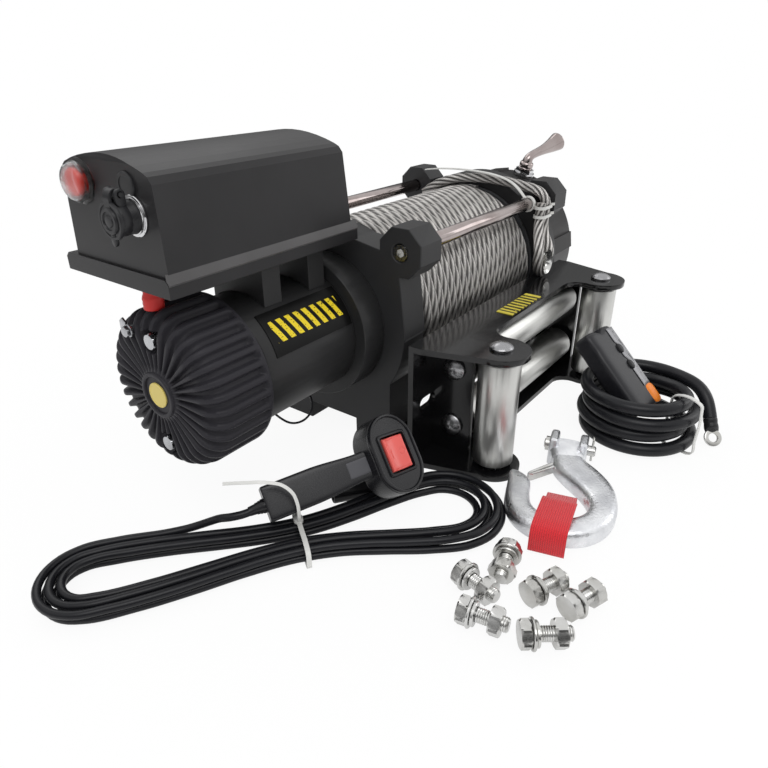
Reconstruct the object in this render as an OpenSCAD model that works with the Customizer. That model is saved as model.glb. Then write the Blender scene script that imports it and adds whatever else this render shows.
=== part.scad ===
// Electric recovery winch with its roller fairlead, hook, wired handset and mounting kit.
// Millimetres. X runs along the drum towards the gearbox, -Y is the front, Z is up.
// The origin is the middle of the four foot bolts, on the plane that the feet stand on.

/* [Frame] */
// Height of the drum axis above the feet
axis_z = 112; // [104:1:124]
// Clear width between the two end supports
drum_gap = 220; // [200:2:260]
// Thickness of each end support
support_t = 30; // [26:1:36]
// Radius of the motor side boss
motor_boss_r = 82.4; // [78:0.2:86]
// Radius of the gear side boss
gear_boss_r = 93; // [89:0.5:96]
// Half width of a foot, front to back
foot_half_w = 76; // [70:1:84]
// Height of the arch between the feet
arch_h = 18; // [10:1:24]
// Foot bolt spacing along the winch
bolt_x = 254; // [250:0.5:262]
// Foot bolt spacing across the winch
bolt_y = 114.3; // [108:0.1:120]
// Foot bolt hole radius
foot_bolt_r = 5.5; // [4:0.5:6.5]

/* [Tie rods] */
// Tie rod radius
rod_r = 6.5; // [5:0.25:8]
// Tie rod distance in front of and behind the axis
rod_y = 77.5; // [74:0.5:80]
// Tie rod height above the drum axis
rod_up = 72; // [70:0.5:76]
// Flat to middle of the eight sided lug that holds a tie rod
lug_apothem = 20; // [16:1:21]
// Depth of the socket that a tie rod sits in
rod_socket = 6; // [4:1:9]

/* [Drum and rope] */
// Drum barrel radius
barrel_r = 31.75; // [30:0.25:34]
// Drum flange radius
flange_r = 79; // [74:1:80]
// Drum flange thickness
flange_t = 4; // [3:0.5:6]
// Wire rope diameter
rope_d = 10; // [8:0.25:11]
// Turns in the outer layer of rope
rope_turns = 19; // [14:1:19]
// Radius of the packed inner layers
core_r = 72; // [64:1:72]
// Drum journal radius
journal_r = 28; // [26:0.5:30]
// Wall of the drum bushes
bush_wall = 5; // [3:0.5:6]

/* [Motor] */
// Motor can radius
can_r = 52; // [49:0.5:53]
// Motor can wall
can_wall = 4.5; // [3:0.5:6]
// Motor can length
can_l = 96; // [90:1:110]
// Motor end bell radius
bell_r = 62.3; // [58:0.5:64]
// Motor end bell length
bell_l = 26; // [22:1:32]
// Finned cap radius
cap_r = 63; // [61:0.5:68]
// Finned cap length
cap_l = 58; // [52:1:62]
// Fin count round the cap
fin_count = 36; // [24:1:40]
// Depth of the grooves between the fins
fin_depth = 4.5; // [3:0.5:6]
// Through shaft radius
shaft_r = 8; // [7:0.25:9]
// Armature radius
armature_r = 34; // [30:1:36]

/* [Gearbox] */
// Gear housing radius
housing_r = 84; // [82:0.5:88]
// Gear housing length
housing_l = 77; // [77:1:90]
// Sun gear pitch radius
sun_r = 12; // [11:0.5:14]
// Face width of the output stage
stage_w = 14; // [10:1:14]

/* [Control box] */
// Length of the cover at its lip
box_l = 178; // [160:1:200]
// Depth of the cover at its lip, front to back
box_d = 112; // [100:1:124]
// Height of the cover over the axis at the lip
box_up = 80; // [79:0.5:84]
// Height of the cover
box_h = 80; // [70:1:96]
// Wall of the cover
box_wall = 3; // [2.5:0.25:4]

/* [Fairlead] */
// Height of the fairlead frame
lead_h = 113; // [105:1:118]
// Half width of the fairlead back plate
lead_half_w = 150; // [146:1:158]
// Plate thickness of the fairlead frame
plate_t = 5; // [4:0.5:6]
// Roller radius
roller_r = 17.4; // [15:0.2:18]
// Roller pin radius
pin_r = 6; // [5:0.25:8]
// Distance of the vertical rollers from the middle
post_x = 110.6; // [106:0.2:116]
// Height of the upper roller axis
upper_z = 87; // [84:0.5:90]
// Height of the lower roller axis
lower_z = 33; // [28:0.5:35]

/* [Handset and kit] */
// Handset head radius
head_r = 33; // [30:0.5:36]
// Handset thickness
handset_t = 24; // [20:1:28]
// Handset lead diameter
lead_d = 6; // [5:0.25:6]
// Power cable diameter
cable_d = 12; // [10:0.5:12]
// Hook body thickness
hook_t = 18; // [14:1:20]
// Mounting bolt shank radius
stud_r = 5; // [4:0.5:6]

/* [Hidden] */
$fn = 64;

// Clearances
fit = 0.05;
gap = 0.3;
seat = 0.35;

// Frame places
face_x = drum_gap / 2;
outer_x = face_x + support_t;
rod_z = axis_z + rod_up;
lug_r = lug_apothem / cos(22.5);
bush_r = journal_r + bush_wall;
bush_l = 18;
journal_end = face_x + bush_l;
hub_r = journal_r - 6;

// Drum places
flange_x = face_x - 0.5;
rope_r = rope_d / 2;
wind_room = 2 * (flange_x - flange_t) - 0.4;
rope_pitch = (wind_room - rope_d) / rope_turns;
wind_r = core_r + rope_r;
wind_start = -(rope_turns * rope_pitch) / 2;
swept_r = norm([wind_r, rope_d]) + rope_r;

// Motor places, measured along the drum axis
bell_x = -outer_x - bell_l;
can_x = bell_x - can_l;
cap_x = can_x - cap_l;
cap_ring = 6;
cap_corner = 17;
posts = [[cap_x + 14, 8], [cap_x + 36, 30]];
lug_y = 20;
lug_up = 44;

// Gearbox places
housing_end = outer_x + housing_l;
ring_r = housing_r - 24;
housing_wall = 6;
carrier_t = 4;
carrier_r = ring_r - 3;
planet_r = (ring_r - sun_r) / 2;
planet_at = sun_r + planet_r;
planet_pin_r = 5;
stage_gap = 0.6;
out_disc_x = outer_x + 2;
out_gear_x = out_disc_x + carrier_t + stage_gap;
mid_disc_x = out_gear_x + stage_w + stage_gap;
mid_w = stage_w - 2;
mid_gear_x = mid_disc_x + carrier_t + stage_gap;
in_disc_x = mid_gear_x + mid_w + stage_gap;
in_w = stage_w - 4;
in_gear_x = in_disc_x + carrier_t + stage_gap;
in_end = in_gear_x + in_w;
ring_wall = 10;
ring_end = housing_end - housing_wall - 8;
plunger_x = ring_end - 10;
plunger_r = 5;
lever_tilt = 14;

// Control box places
box_x = -326;
box_y = -42;
box_z = axis_z + box_up;
lip_h = 12;
lip_out = 5;
crown = 7.5;
base_t = 3;
face_z = box_z + lip_h;
switch_y = 33;
switch_z = face_z + 50;
socket_y = -18;
socket_z = face_z + 35;
socket_r = 10;
socket_l = 12;
unit_x = box_x + 76;
unit_l = box_l - 98;

// Fairlead places
back_y = -94;
plate_y = back_y - plate_t;
post_y = -157;
lobe_r = 24;
roller_y = -119;
side_x = 112;
roller_half_l = side_x - plate_t - gap - 1;
post_z0 = plate_t + 3.5;
post_l = lead_h - 2 * post_z0;
strip_y = -134;

// Loose kit places on the floor
hank_at = [-289, -90];
hank_turn = -35.3;
coil_at = [24, -236];
hook_at = [-140, -228];
hook_turn = 15.5;
hook_reach = 70;
clevis_r = 13;
handset_at = [-209, -118];
handset_z = 48;
handset_yaw = 151.2;
handset_pitch = 8.5;
handset_roll = 50;
handle_l = 100;
handle_w = 28;
head_w = 45;
head_lean = 25;
handle_t = 22;
gland_l = 12;
remote_at = [22, -244.2, 23.6];
remote_yaw = 80;
remote_pitch = 42;

// A solid of revolution about the drum axis: profile x is radius, profile y runs along X
module on_axis(x = 0) {
    translate([x, 0, axis_z]) rotate([0, 90, 0]) children();
}

// A flat outline drawn in Y and Z, given thickness along X
module slab_x(x, t) {
    translate([x, 0, 0]) rotate([90, 0, 90]) linear_extrude(t) children();
}

module tube(r, hole_r, l) {
    difference() {
        cylinder(r = r, h = l);
        translate([0, 0, -1]) cylinder(r = hole_r, h = l + 2);
    }
}

module hexagon_head(flats, h) {
    cylinder(r = flats / 2 / cos(30), h = h, $fn = 6);
}

// A sweep: rings of the same outline carried along a path without twisting
function unit(v) = v / norm(v);
function tangent(p, i) = unit(p[min(i + 1, len(p) - 1)] - p[max(i - 1, 0)]);
function carried(n, t) = unit(n - (n * t) * t);
function normals(p, n0) = [
    for (i = 0, n = carried(n0, tangent(p, 0)); i < len(p);
        i = i + 1, n = i < len(p) ? carried(n, tangent(p, i)) : n) n
];
function ring_outline(r, sides) = [for (k = [0:sides - 1]) r * [cos(k * 360 / sides), sin(k * 360 / sides)]];

// A closed skin over rings of m points each
module skin(points, m) {
    last = len(points) - m;
    walls = [
        for (i = [0:m:last - m]) for (k = [0:m - 1])
            let (a = i + k, b = i + (k + 1) % m)
                each [[a, a + m, b], [b, a + m, b + m]]
    ];
    start = [for (k = [1:m - 2]) [0, k, k + 1]];
    end = [for (k = [1:m - 2]) [last, last + k + 1, last + k]];
    polyhedron(points, concat(walls, start, end));
}

module sweep(path, outline, n0, sizes = undef) {
    ns = normals(path, n0);
    points = [
        for (i = [0:len(path) - 1])
            let (t = tangent(path, i), n = ns[i], b = cross(t, n), k = is_undef(sizes) ? 1 : sizes[i])
                for (o = outline) path[i] + k * o[0] * n + k * o[1] * b
    ];
    skin(points, len(outline));
}

// Least distance between two stretches of one path, less the thickness of what follows it
function self_gap(p, d, skip) = min([
    for (i = [0:len(p) - 1 - skip]) for (j = [i + skip:len(p) - 1]) norm(p[i] - p[j])
]) - d;

// Rope layer: a helix on the packed core, with a straight stub at each end
function helix_point(a) = [wind_start + a / 360 * rope_pitch, -wind_r * sin(a), axis_z + wind_r * cos(a)];
wind_rings = 24;
wind_steps = rope_turns * wind_rings;
wind_path = concat(
    [helix_point(0) + [0, rope_d, 0]],
    [for (i = [0:wind_steps]) helix_point(i * 360 / wind_rings)],
    [helix_point(rope_turns * 360) - [0, rope_d, 0]]
);
echo("least gap between rope turns", self_gap(wind_path, rope_d, 18));

// Hank: stadium loops drawn in at the waist, in on the top layer and out on the floor layer
hank_left = [-138, 34, 7.4];
hank_right = [120, 46, 9.6];
hank_waist = [21, 6.9];
hank_from = 0.08;
hank_back = 2.5;
hank_to = 4.87;
tie_t = 1.5;
hank_rise = lead_d + 0.5;
run_q = 0.13;
function hank_s(n) = hank_back - hank_from - abs(n - hank_back);
function hank_z(n) = tie_t + lead_d / 2 + hank_rise * (1 - min(1, max(0, (n - hank_back + 0.25) * 2)));
function end_r(e, s) = e[1] - e[2] * s;
function run_v(u, s) =
    let (k = (u - hank_left[0]) / (hank_right[0] - hank_left[0]),
        wide = end_r(hank_left, s) * (1 - k) + end_r(hank_right, s) * k,
        waist = hank_waist[0] - hank_waist[1] * s,
        c = u < 0 ? cos(90 * u / hank_left[0]) : cos(90 * u / hank_right[0]))
    wide - (wide - waist) * c * c;
function hank_uv(q, s) =
    q < run_q ? let (u = hank_left[0] * q / run_q) [u, run_v(u, s)] :
    q < 0.5 - run_q ? let (a = 90 + 180 * (q - run_q) / (0.5 - 2 * run_q))
        [hank_left[0] + end_r(hank_left, s) * cos(a), end_r(hank_left, s) * sin(a)] :
    q < 0.5 ? let (u = hank_left[0] * (0.5 - q) / run_q) [u, -run_v(u, s)] :
    q < 0.5 + run_q ? let (u = hank_right[0] * (q - 0.5) / run_q) [u, -run_v(u, s)] :
    q < 1 - run_q ? let (a = -90 + 180 * (q - 0.5 - run_q) / (0.5 - 2 * run_q))
        [hank_right[0] + end_r(hank_right, s) * cos(a), end_r(hank_right, s) * sin(a)] :
    let (u = hank_right[0] * (1 - q) / run_q) [u, run_v(u, s)];
function on_floor(uv, z) = [
    hank_at[0] + uv[0] * cos(hank_turn) - uv[1] * sin(hank_turn),
    hank_at[1] + uv[0] * sin(hank_turn) + uv[1] * cos(hank_turn), z
];
hank_steps = round((hank_to - hank_from) * 24);
hank_path = [
    for (i = [0:hank_steps])
        let (n = hank_from + i * (hank_to - hank_from) / hank_steps)
            on_floor(hank_uv(n - floor(n), hank_s(n)), hank_z(n))
];
echo("least gap between hank loops", self_gap(hank_path, lead_d, 8));

// Coil: four layers of one turn, in and out by turns
coil_layers = 4;
coil_n = 1;
coil_step = cable_d + 0.7;
coil_r = 52;
coil_from = -22;
function wave(n) = coil_n * (1 - abs(1 - (n / coil_n - 2 * floor(n / coil_n / 2))));
function climb(n) =
    let (k = round(n / coil_n)) k == 0 || k == coil_layers ? floor(n / coil_n) :
    k - 1 + min(1, max(0, (n - k * coil_n + 0.25) * 2));
function coil_point(n) =
    let (a = coil_from - 360 * n, r = coil_r - coil_step * wave(n),
        z = tie_t + cable_d / 2 + coil_step * min(coil_layers - 1, climb(n)))
    [coil_at[0] + r * cos(a), coil_at[1] + r * sin(a), z];
coil_steps = coil_layers * coil_n * 24;
coil_out = cable_d * [sin(coil_from), -cos(coil_from), 0];
coil_end = coil_point(coil_steps / 24) + coil_out;
coil_path = concat([coil_point(0) - coil_out], [for (i = [0:coil_steps]) coil_point(i / 24)], [coil_end]);
echo("least gap between coil turns", self_gap(coil_path, cable_d, 12));

module support_outline(boss, web_r) {
    low = rod_z - lug_apothem;
    in = rod_y - lug_apothem;
    for (s = [-1, 1]) translate([s * rod_y, rod_z]) rotate(22.5) circle(r = lug_r, $fn = 8);
    translate([0, axis_z]) circle(r = boss, $fn = 128);
    polygon([
        [-web_r, axis_z], [-rod_y, low], [-in, rod_z], [0, axis_z + web_r - 2], [in, rod_z], [rod_y, low],
        [web_r, axis_z], [boss - 14, axis_z - 30], [foot_half_w - 8, 34], [foot_half_w, 18], [foot_half_w, 0],
        [-foot_half_w, 0], [-foot_half_w, 18], [-foot_half_w + 8, 34], [-boss + 14, axis_z - 30]
    ]);
}

// The holes that both end supports share, seen from the inner face at x = 0, thickness along +X
module support_cuts() {
    bolt_in = bolt_x / 2 - face_x;
    on_axis(-1) cylinder(r = bush_r + fit, h = bush_l + 1);
    for (s = [-1, 1]) {
        translate([0, s * rod_y, rod_z]) rotate([0, 90, 0]) {
            translate([0, 0, -1]) cylinder(r = rod_r + fit, h = rod_socket + 1);
            cylinder(r = 4 + fit, h = support_t + 1);
            translate([0, 0, support_t - 9]) cylinder(r = 7.5, h = 10);
        }
        translate([bolt_in, s * bolt_y / 2, -1]) cylinder(r = foot_bolt_r, h = 23);
        translate([bolt_in, s * bolt_y / 2, 12]) cylinder(r = 10, h = 10, $fn = 6);
        translate([bolt_in - 8.66, s > 0 ? bolt_y / 2 : -foot_half_w - 1, 12])
            cube([17.32, foot_half_w - bolt_y / 2 + 1, 10]);
    }
    translate([-1, -28, -1]) cube([support_t + 2, 56, arch_h + 1]);
}

module motor_support() {
    color("#1e1f21") difference() {
        union() {
            slab_x(-outer_x, support_t) support_outline(motor_boss_r, motor_boss_r + 1.6);
            on_axis(-outer_x) cylinder(r = bell_r + 5, h = 8);
        }
        translate([-face_x, 0, 0]) mirror([1, 0, 0]) support_cuts();
        on_axis(-outer_x - 1) cylinder(r = 24, h = support_t + 2);
    }
}

module gear_support() {
    color("#1e1f21") difference() {
        union() {
            slab_x(face_x, support_t - 1) support_outline(gear_boss_r - 8, 86);
            on_axis(face_x) cylinder(r = gear_boss_r, h = support_t);
        }
        translate([face_x, 0, 0]) support_cuts();
        on_axis(face_x - 1) cylinder(r = hub_r + 2, h = support_t + 2);
    }
}

module tie_rods() {
    color("#d9dbdd") for (s = [-1, 1])
        translate([-face_x - rod_socket, s * rod_y, rod_z]) rotate([0, 90, 0]) difference() {
            cylinder(r = rod_r, h = drum_gap + 2 * rod_socket);
            translate([0, 0, -1]) cylinder(r = 4 + fit, h = 16);
            translate([0, 0, drum_gap + 2 * rod_socket - 15]) cylinder(r = 4 + fit, h = 16);
        }
}

// A socket head bolt, its head up at z = 0 and its shank below
module socket_bolt(r, l, head_r) {
    difference() {
        union() {
            cylinder(r = head_r, h = 8);
            translate([0, 0, -l]) cylinder(r = r, h = l);
        }
        translate([0, 0, 4]) cylinder(r = head_r * 0.55, h = 5, $fn = 6);
    }
}

module tie_rod_bolts() {
    color("#c9cbcd") for (s = [-1, 1], e = [-1, 1])
        translate([e * (outer_x - 9 + fit), s * rod_y, rod_z]) rotate([0, 90 * e, 0])
            socket_bolt(4, support_t - 9 + 8, 6.5);
}

module drum() {
    color("#55585c") on_axis() difference() {
        union() {
            translate([0, 0, -flange_x]) cylinder(r = barrel_r, h = 2 * flange_x);
            for (e = [-flange_x, flange_x - flange_t]) translate([0, 0, e]) cylinder(r = flange_r, h = flange_t);
            translate([0, 0, -journal_end]) cylinder(r = journal_r, h = 2 * journal_end);
        }
        translate([0, 0, -journal_end - 1]) cylinder(r = hub_r, h = 2 * journal_end + 2);
    }
}

module drum_bushes() {
    color("#b58b45") for (e = [-1, 1])
        on_axis(e > 0 ? face_x : -face_x - bush_l) tube(bush_r, journal_r + fit, bush_l);
}

module rope_winding() {
    color("#a9abad") {
        on_axis(-flange_x + flange_t + 0.2) tube(core_r - 1, barrel_r + fit, 2 * (flange_x - flange_t - 0.2));
        sweep(wind_path, ring_outline(rope_r, 6), [0, 0, 1]);
    }
}

module drive_shaft() {
    color("#8d9093") on_axis() {
        translate([0, 0, cap_x + 22]) cylinder(r = shaft_r, h = in_end - cap_x - 22);
        translate([0, 0, in_gear_x]) cylinder(r = sun_r - gap, h = in_w);
    }
}

module drum_brake() {
    color("#6f5a45") on_axis(-journal_end + 6) difference() {
        cylinder(r = hub_r - 0.6, h = 46);
        translate([0, 0, -1]) cylinder(r = shaft_r + fit, h = 48);
        for (k = [0:2]) rotate(k * 120) translate([12, -1.5, 8]) cube([20, 3, 30]);
    }
}

module motor_end_bell() {
    color("#1e1f21") on_axis(bell_x) difference() {
        union() {
            cylinder(r = bell_r, h = bell_l);
            translate([0, 0, -6]) cylinder(r = can_r - can_wall - fit, h = 7);
        }
        translate([0, 0, -7]) cylinder(r = shaft_r + fit, h = bell_l + 8);
    }
}

module motor_can() {
    color("#1a1b1c") on_axis(can_x) tube(can_r, can_r - can_wall, can_l);
}

module field_poles() {
    color("#7a3f2b") on_axis(can_x + 18) for (k = [0:3]) rotate(k * 90 + 12)
        rotate_extrude(angle = 66) translate([armature_r + 1, 0])
            square([can_r - can_wall - seat - armature_r - 1, can_l - 34]);
}

module armature() {
    color("#8a6a4a") on_axis() difference() {
        union() {
            translate([0, 0, can_x + 24]) cylinder(r = armature_r, h = can_l - 46);
            translate([0, 0, can_x - 8]) cylinder(r = 20, h = 32);
        }
        translate([0, 0, can_x - 9]) cylinder(r = shaft_r + fit, h = can_l);
    }
}

module brush_gear() {
    color("#4a3a2a") on_axis(can_x - 6) {
        difference() {
            cylinder(r = 45.6, h = 5);
            translate([0, 0, -1]) cylinder(r = 24, h = 7);
        }
        for (k = [0:3]) rotate(k * 90) translate([20.3, -6, 5]) cube([20, 12, 11]);
    }
}

// Half section of the cap outside: radius against distance from the can
module cap_section(r, end, corner) {
    square([r - corner, cap_l - end]);
    square([r, cap_l - end - corner]);
    translate([r - corner, cap_l - end - corner]) circle(r = corner, $fn = 64);
}

module motor_cap() {
    color("#2b2c30") translate([can_x, 0, axis_z]) rotate([0, -90, 0]) difference() {
        union() {
            rotate_extrude($fn = 96) difference() {
                cap_section(cap_r, 0, cap_corner);
                square([cap_r + 1, cap_ring]);
            }
            cylinder(r = cap_r - 9, h = cap_ring);
            cylinder(r = 24, h = cap_l + 1.5);
        }
        for (k = [0:fin_count - 1]) rotate(k * 360 / fin_count)
            rotate_extrude(angle = 180 / fin_count, $fn = 96) difference() {
                translate([27, cap_ring + 3]) square([cap_r, cap_l]);
                cap_section(cap_r - fin_depth, fin_depth, cap_corner - fin_depth);
            }
        translate([0, 0, -1]) cylinder(r = 46, h = cap_l - 20);
        translate([0, 0, -1]) cylinder(r = shaft_r + fit, h = cap_l - 20);
        for (s = [-1, 1]) translate([s * 40, 0, cap_l - 10]) cylinder(r = 7.5, h = 12);
        for (s = [-1, 1]) translate([s * 40, 0, cap_l - 24]) cylinder(r = 3 + fit, h = 20);
        translate([lug_up, lug_y, cap_l - 12]) cylinder(r = 3 + fit, h = 14);
        translate([0, 0, cap_l]) cylinder(r = 20, h = 3);
    }
    color("#2b2c30") for (b = posts) translate([b[0], b[1], axis_z + cap_r - 14]) cylinder(r = 3, h = 20);
}

module cap_bolts() {
    color("#c9cbcd") for (s = [-1, 1])
        translate([cap_x + 10, 0, axis_z + s * 40]) rotate([0, -90, 0]) {
            translate([0, 0, fit]) cylinder(r = 6.8, h = 1.2);
            translate([0, 0, 1.2]) hexagon_head(10, 11);
            translate([0, 0, -13]) cylinder(r = 3, h = 14);
        }
    color("#c9cbcd") translate([cap_x - 2.3, lug_y, axis_z + lug_up]) rotate([0, 90, 0]) {
        difference() {
            union() {
                cylinder(r = 7, h = 2);
                translate([-16, -7, 0]) cube([16, 14, 2]);
            }
            translate([0, 0, -1]) cylinder(r = 3 + fit, h = 4);
        }
        translate([0, 0, -4]) cylinder(r = 3, h = 14);
        translate([0, 0, -4]) hexagon_head(9, 3.9);
    }
}

module hub_badge() {
    color("#c8a93e") translate([cap_x - 1, 0, axis_z]) rotate([0, 90, 0]) cylinder(r = 12, h = 1);
}

module can_label() {
    color("#0e0e10") on_axis(can_x + 10) rotate(180 + 34)
        rotate_extrude(angle = 38) translate([can_r + fit, 0]) square([0.7, can_l - 12]);
}

module motor_boots() {
    color("#b3201f") for (b = posts) translate([b[0], b[1], axis_z + cap_r - 16]) difference() {
        union() {
            cylinder(r = 7, h = box_up - cap_r + 16 - base_t - seat);
            cylinder(r = 9, h = 18);
        }
        translate([0, 0, -1]) cylinder(r = 3 + fit, h = 24);
        translate([-b[0], -b[1], 16 - axis_z - cap_r]) on_axis(cap_x - 1)
            cylinder(r = cap_r + seat, h = cap_l + 2);
    }
}

wire_path = [
    [-232, -18, 62.9], [-229, -22, 58], [-223, -25, 52], [-213, -26, 47.5], [-204, -26, 47],
    [-196, -25, 50], [-191, -22, 55], [-189, -18, 60], [-189, -15, 61.9]
];
module earth_wire() {
    color("#101112") sweep(wire_path, ring_outline(1, 6), [0, 1, 0]);
}

module gear_housing() {
    color("#141517") difference() {
        union() {
            on_axis(outer_x) cylinder(r = housing_r + 5, h = 10);
            on_axis(outer_x) cylinder(r = housing_r, h = housing_l - 12);
            on_axis(housing_end - 12) rotate_extrude($fn = 96) polygon([
                [0, 0], [housing_r, 0], [housing_r - 3, 6], [housing_r - 14, 12], [0, 12]
            ]);
            for (k = [0:7]) translate([outer_x + 10, 0, axis_z]) rotate([lever_tilt + 22.5 + k * 45, 0, 0])
                translate([0, -9, housing_r - 6]) cube([housing_l - 24, 18, 8.5]);
        }
        on_axis(outer_x - 1) cylinder(r = ring_r + ring_wall, h = housing_l - housing_wall);
        on_lever() translate([0, 0, -30]) cylinder(r = plunger_r + fit, h = 50);
        for (k = [0:7]) translate([housing_end, 0, axis_z]) rotate([k * 45, 0, 0]) translate([-7, 0, 60])
            rotate([0, 90, 0]) cylinder(r = 5.5, h = 8);
    }
}

module ring_gear() {
    color("#777a7d") difference() {
        on_axis(out_gear_x) tube(ring_r + ring_wall - fit, ring_r, ring_end - out_gear_x);
        on_lever() translate([0, 0, -ring_wall - 12]) cylinder(r = plunger_r + 0.4, h = 8.5);
    }
}

// Three planets round the axis, on pins that stand out of a carrier disc towards +X
module planets(x, w) {
    on_axis(x) for (k = [0:2]) rotate(k * 120 + 60) translate([planet_at, 0, 0])
        tube(planet_r - gap, planet_pin_r + fit, w);
}

module carrier(disc_x, w, bore_r) {
    on_axis(disc_x) {
        difference() {
            cylinder(r = carrier_r, h = carrier_t);
            translate([0, 0, -1]) cylinder(r = bore_r, h = carrier_t + 2);
        }
        for (k = [0:2]) rotate(k * 120 + 60) translate([planet_at, 0, 0.5])
            cylinder(r = planet_pin_r, h = carrier_t + w);
    }
}

module sun_sleeve(x, l) {
    on_axis(x) tube(sun_r - gap, shaft_r + gap, l);
}

module first_stage() {
    color("#8c8f92") {
        carrier(in_disc_x, in_w, shaft_r + gap);
        sun_sleeve(mid_gear_x, mid_w + stage_gap + 0.5);
        planets(in_gear_x, in_w);
    }
}

module second_stage() {
    color("#86898c") {
        carrier(mid_disc_x, mid_w, shaft_r + gap);
        sun_sleeve(out_gear_x, stage_w + stage_gap + 0.5);
        planets(mid_gear_x, mid_w);
    }
}

module output_stage() {
    color("#808386") {
        carrier(out_disc_x, stage_w, shaft_r + gap);
        on_axis(journal_end - 30) tube(hub_r - fit, shaft_r + gap, out_disc_x - journal_end + 30.5);
        planets(out_gear_x, stage_w);
    }
}

// The frame of the clutch: z runs out through the top of the gear housing
module on_lever() {
    translate([plunger_x, 0, axis_z]) rotate([lever_tilt, 0, 0]) translate([0, 0, housing_r]) children();
}

module clutch_boss() {
    color("#b9bbbd") on_lever() difference() {
        union() {
            translate([0, 0, -2]) cylinder(r = 12, h = 6);
            translate([0, 0, 4]) cylinder(r = 10.5, h = 4, $fn = 6);
        }
        translate([0, 0, -3]) cylinder(r = plunger_r + fit, h = 13);
        on_lever_inverse() on_axis(outer_x) cylinder(r = housing_r + fit, h = housing_l - 12);
    }
}

module on_lever_inverse() {
    translate([0, 0, -housing_r]) rotate([-lever_tilt, 0, 0]) translate([-plunger_x, 0, -axis_z]) children();
}

lever_path = [
    [0, 0, 14], [0, 0, 17.5], [1, 0, 20], [4, 0, 22.5], [9, 0, 24.5], [16, 0, 26.5], [27, 0, 29.5],
    [38, 0, 33], [49, 0, 37.5]
];
lever_radii = [6.5, 5.8, 5.2, 4.8, 4.8, 5, 6, 8, 10.5];
module clutch_lever() {
    color("#d4d6d8") on_lever() {
        difference() {
            translate([0, 0, 8 + gap]) cylinder(r = 8, h = 8);
            translate([0, 0, 7]) cylinder(r = plunger_r + fit, h = 5.5);
        }
        rotate(-11) sweep(lever_path, ring_outline(1, 16), [0, 1, 0], lever_radii);
    }
}

module clutch_plunger() {
    color("#c0c2c4") on_lever() translate([0, 0, -ring_wall - 6]) cylinder(r = plunger_r, h = ring_wall + 6 + 8.8);
}

// The outline of the cover seen from the motor end, drawn in by i
function cover_side(i) =
    let (y0 = box_y + 1 + i, y1 = box_y + box_d - 12 - i, top = box_z + box_h - i, mid = (y0 + y1) / 2)
    concat(
        [[y1, face_z - 2], [y1 - 4, top - crown - 6], [y1 - 6, top - crown - 2]],
        [for (k = [-5:5]) [mid - k * (y1 - y0 - 18) / 10, top - crown * k * k / 25]],
        [[y0 + 5, top - crown - 2], [y0 + 2, top - crown - 6], [y0, face_z - 2]]
    );

// The outline of the cover seen from the front, drawn in by i
function cover_front(i) =
    let (x0 = box_x + 2 + i, x1 = box_x + box_l - 6 - i, top = box_z + box_h + 5 - i)
    [[x0, face_z - 2], [x0, top - 5 - crown / 2], [x0 + 3, top], [x1 - 9, top], [x1 - 6, top - 14], [x1, face_z - 2]];

module cover_shell(i) {
    intersection() {
        slab_x(box_x - 1, box_l + 2) polygon(cover_side(i));
        translate([0, box_y + box_d, 0]) rotate([90, 0, 0]) linear_extrude(box_d) polygon(cover_front(i));
    }
}

module lip_plate(i) {
    x0 = box_x + i;
    y0 = box_y + i;
    intersection() {
        translate([x0, y0, box_z]) cube([box_l - 2 * i, box_d - 2 * i, lip_h]);
        slab_x(x0, box_l) polygon([
            [y0, box_z - 1], [y0, box_z + lip_h - 3], [y0 + 3, box_z + lip_h],
            [y0 + box_d - 2 * i - 3, box_z + lip_h], [y0 + box_d - 2 * i, box_z + lip_h - 3],
            [y0 + box_d - 2 * i, box_z - 1]
        ]);
    }
}

module box_cover() {
    color("#2a2a2c") difference() {
        union() {
            lip_plate(0);
            cover_shell(0);
        }
        translate([0, 0, -0.01]) cover_shell(box_wall);
        translate([box_x + box_wall + 2, box_y + box_wall + 1, box_z - 1])
            cube([box_l - 2 * box_wall - 8, box_d - 2 * box_wall - 14, lip_h]);
        translate([box_x, switch_y, switch_z]) rotate([0, 90, 0]) cylinder(r = 6 + gap, h = 10);
        translate([box_x, socket_y, socket_z]) rotate([0, 90, 0]) cylinder(r = 9 + fit, h = 10);
    }
}

module box_bracket() {
    color("#1d1d1f") difference() {
        union() {
            translate([box_x + 6, box_y + 6, box_z - base_t]) cube([box_l - 12, box_d - 12, base_t]);
            for (x = [can_x + 24, can_x + can_l - 24]) translate([x, box_y + 16, axis_z + can_r - 10])
                cube([18, box_d / 2, box_up - can_r + 10 - base_t + 1]);
        }
        on_axis(can_x - 1) cylinder(r = can_r + fit, h = can_l + 2);
    }
}

module contactor() {
    color("#3c3c40") {
        translate([unit_x, box_y + 20, box_z + gap]) cube([unit_l, box_d - 62, box_h - 46]);
        for (x = [unit_x + 12, unit_x + 38], y = [box_y + 32, box_y + 56])
            translate([x, y, box_z + box_h - 46]) cylinder(r = 4, h = 14);
        translate([unit_x + unit_l - 12, box_y + 45, box_z + box_h - 46]) cylinder(r = 12, h = 18);
    }
}

module switch_boot() {
    dome_r = 15.6;
    color("#c9cdd0") translate([box_x + 2, switch_y, switch_z]) rotate([0, -90, 0]) {
        tube(15.5, 10.5, 2);
        difference() {
            translate([0, 0, 2 + 11 - dome_r]) difference() {
                sphere(r = dome_r);
                sphere(r = dome_r - 1.2);
            }
            translate([-30, -30, -40]) cube([60, 60, 41.9]);
        }
    }
}

module power_button() {
    color("#c4201c") translate([box_x - 0.6, switch_y, switch_z]) rotate([0, -90, 0]) {
        cylinder(r = 9.5, h = 4.4);
        translate([0, 0, -12]) cylinder(r = 6, h = 13);
    }
}

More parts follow.
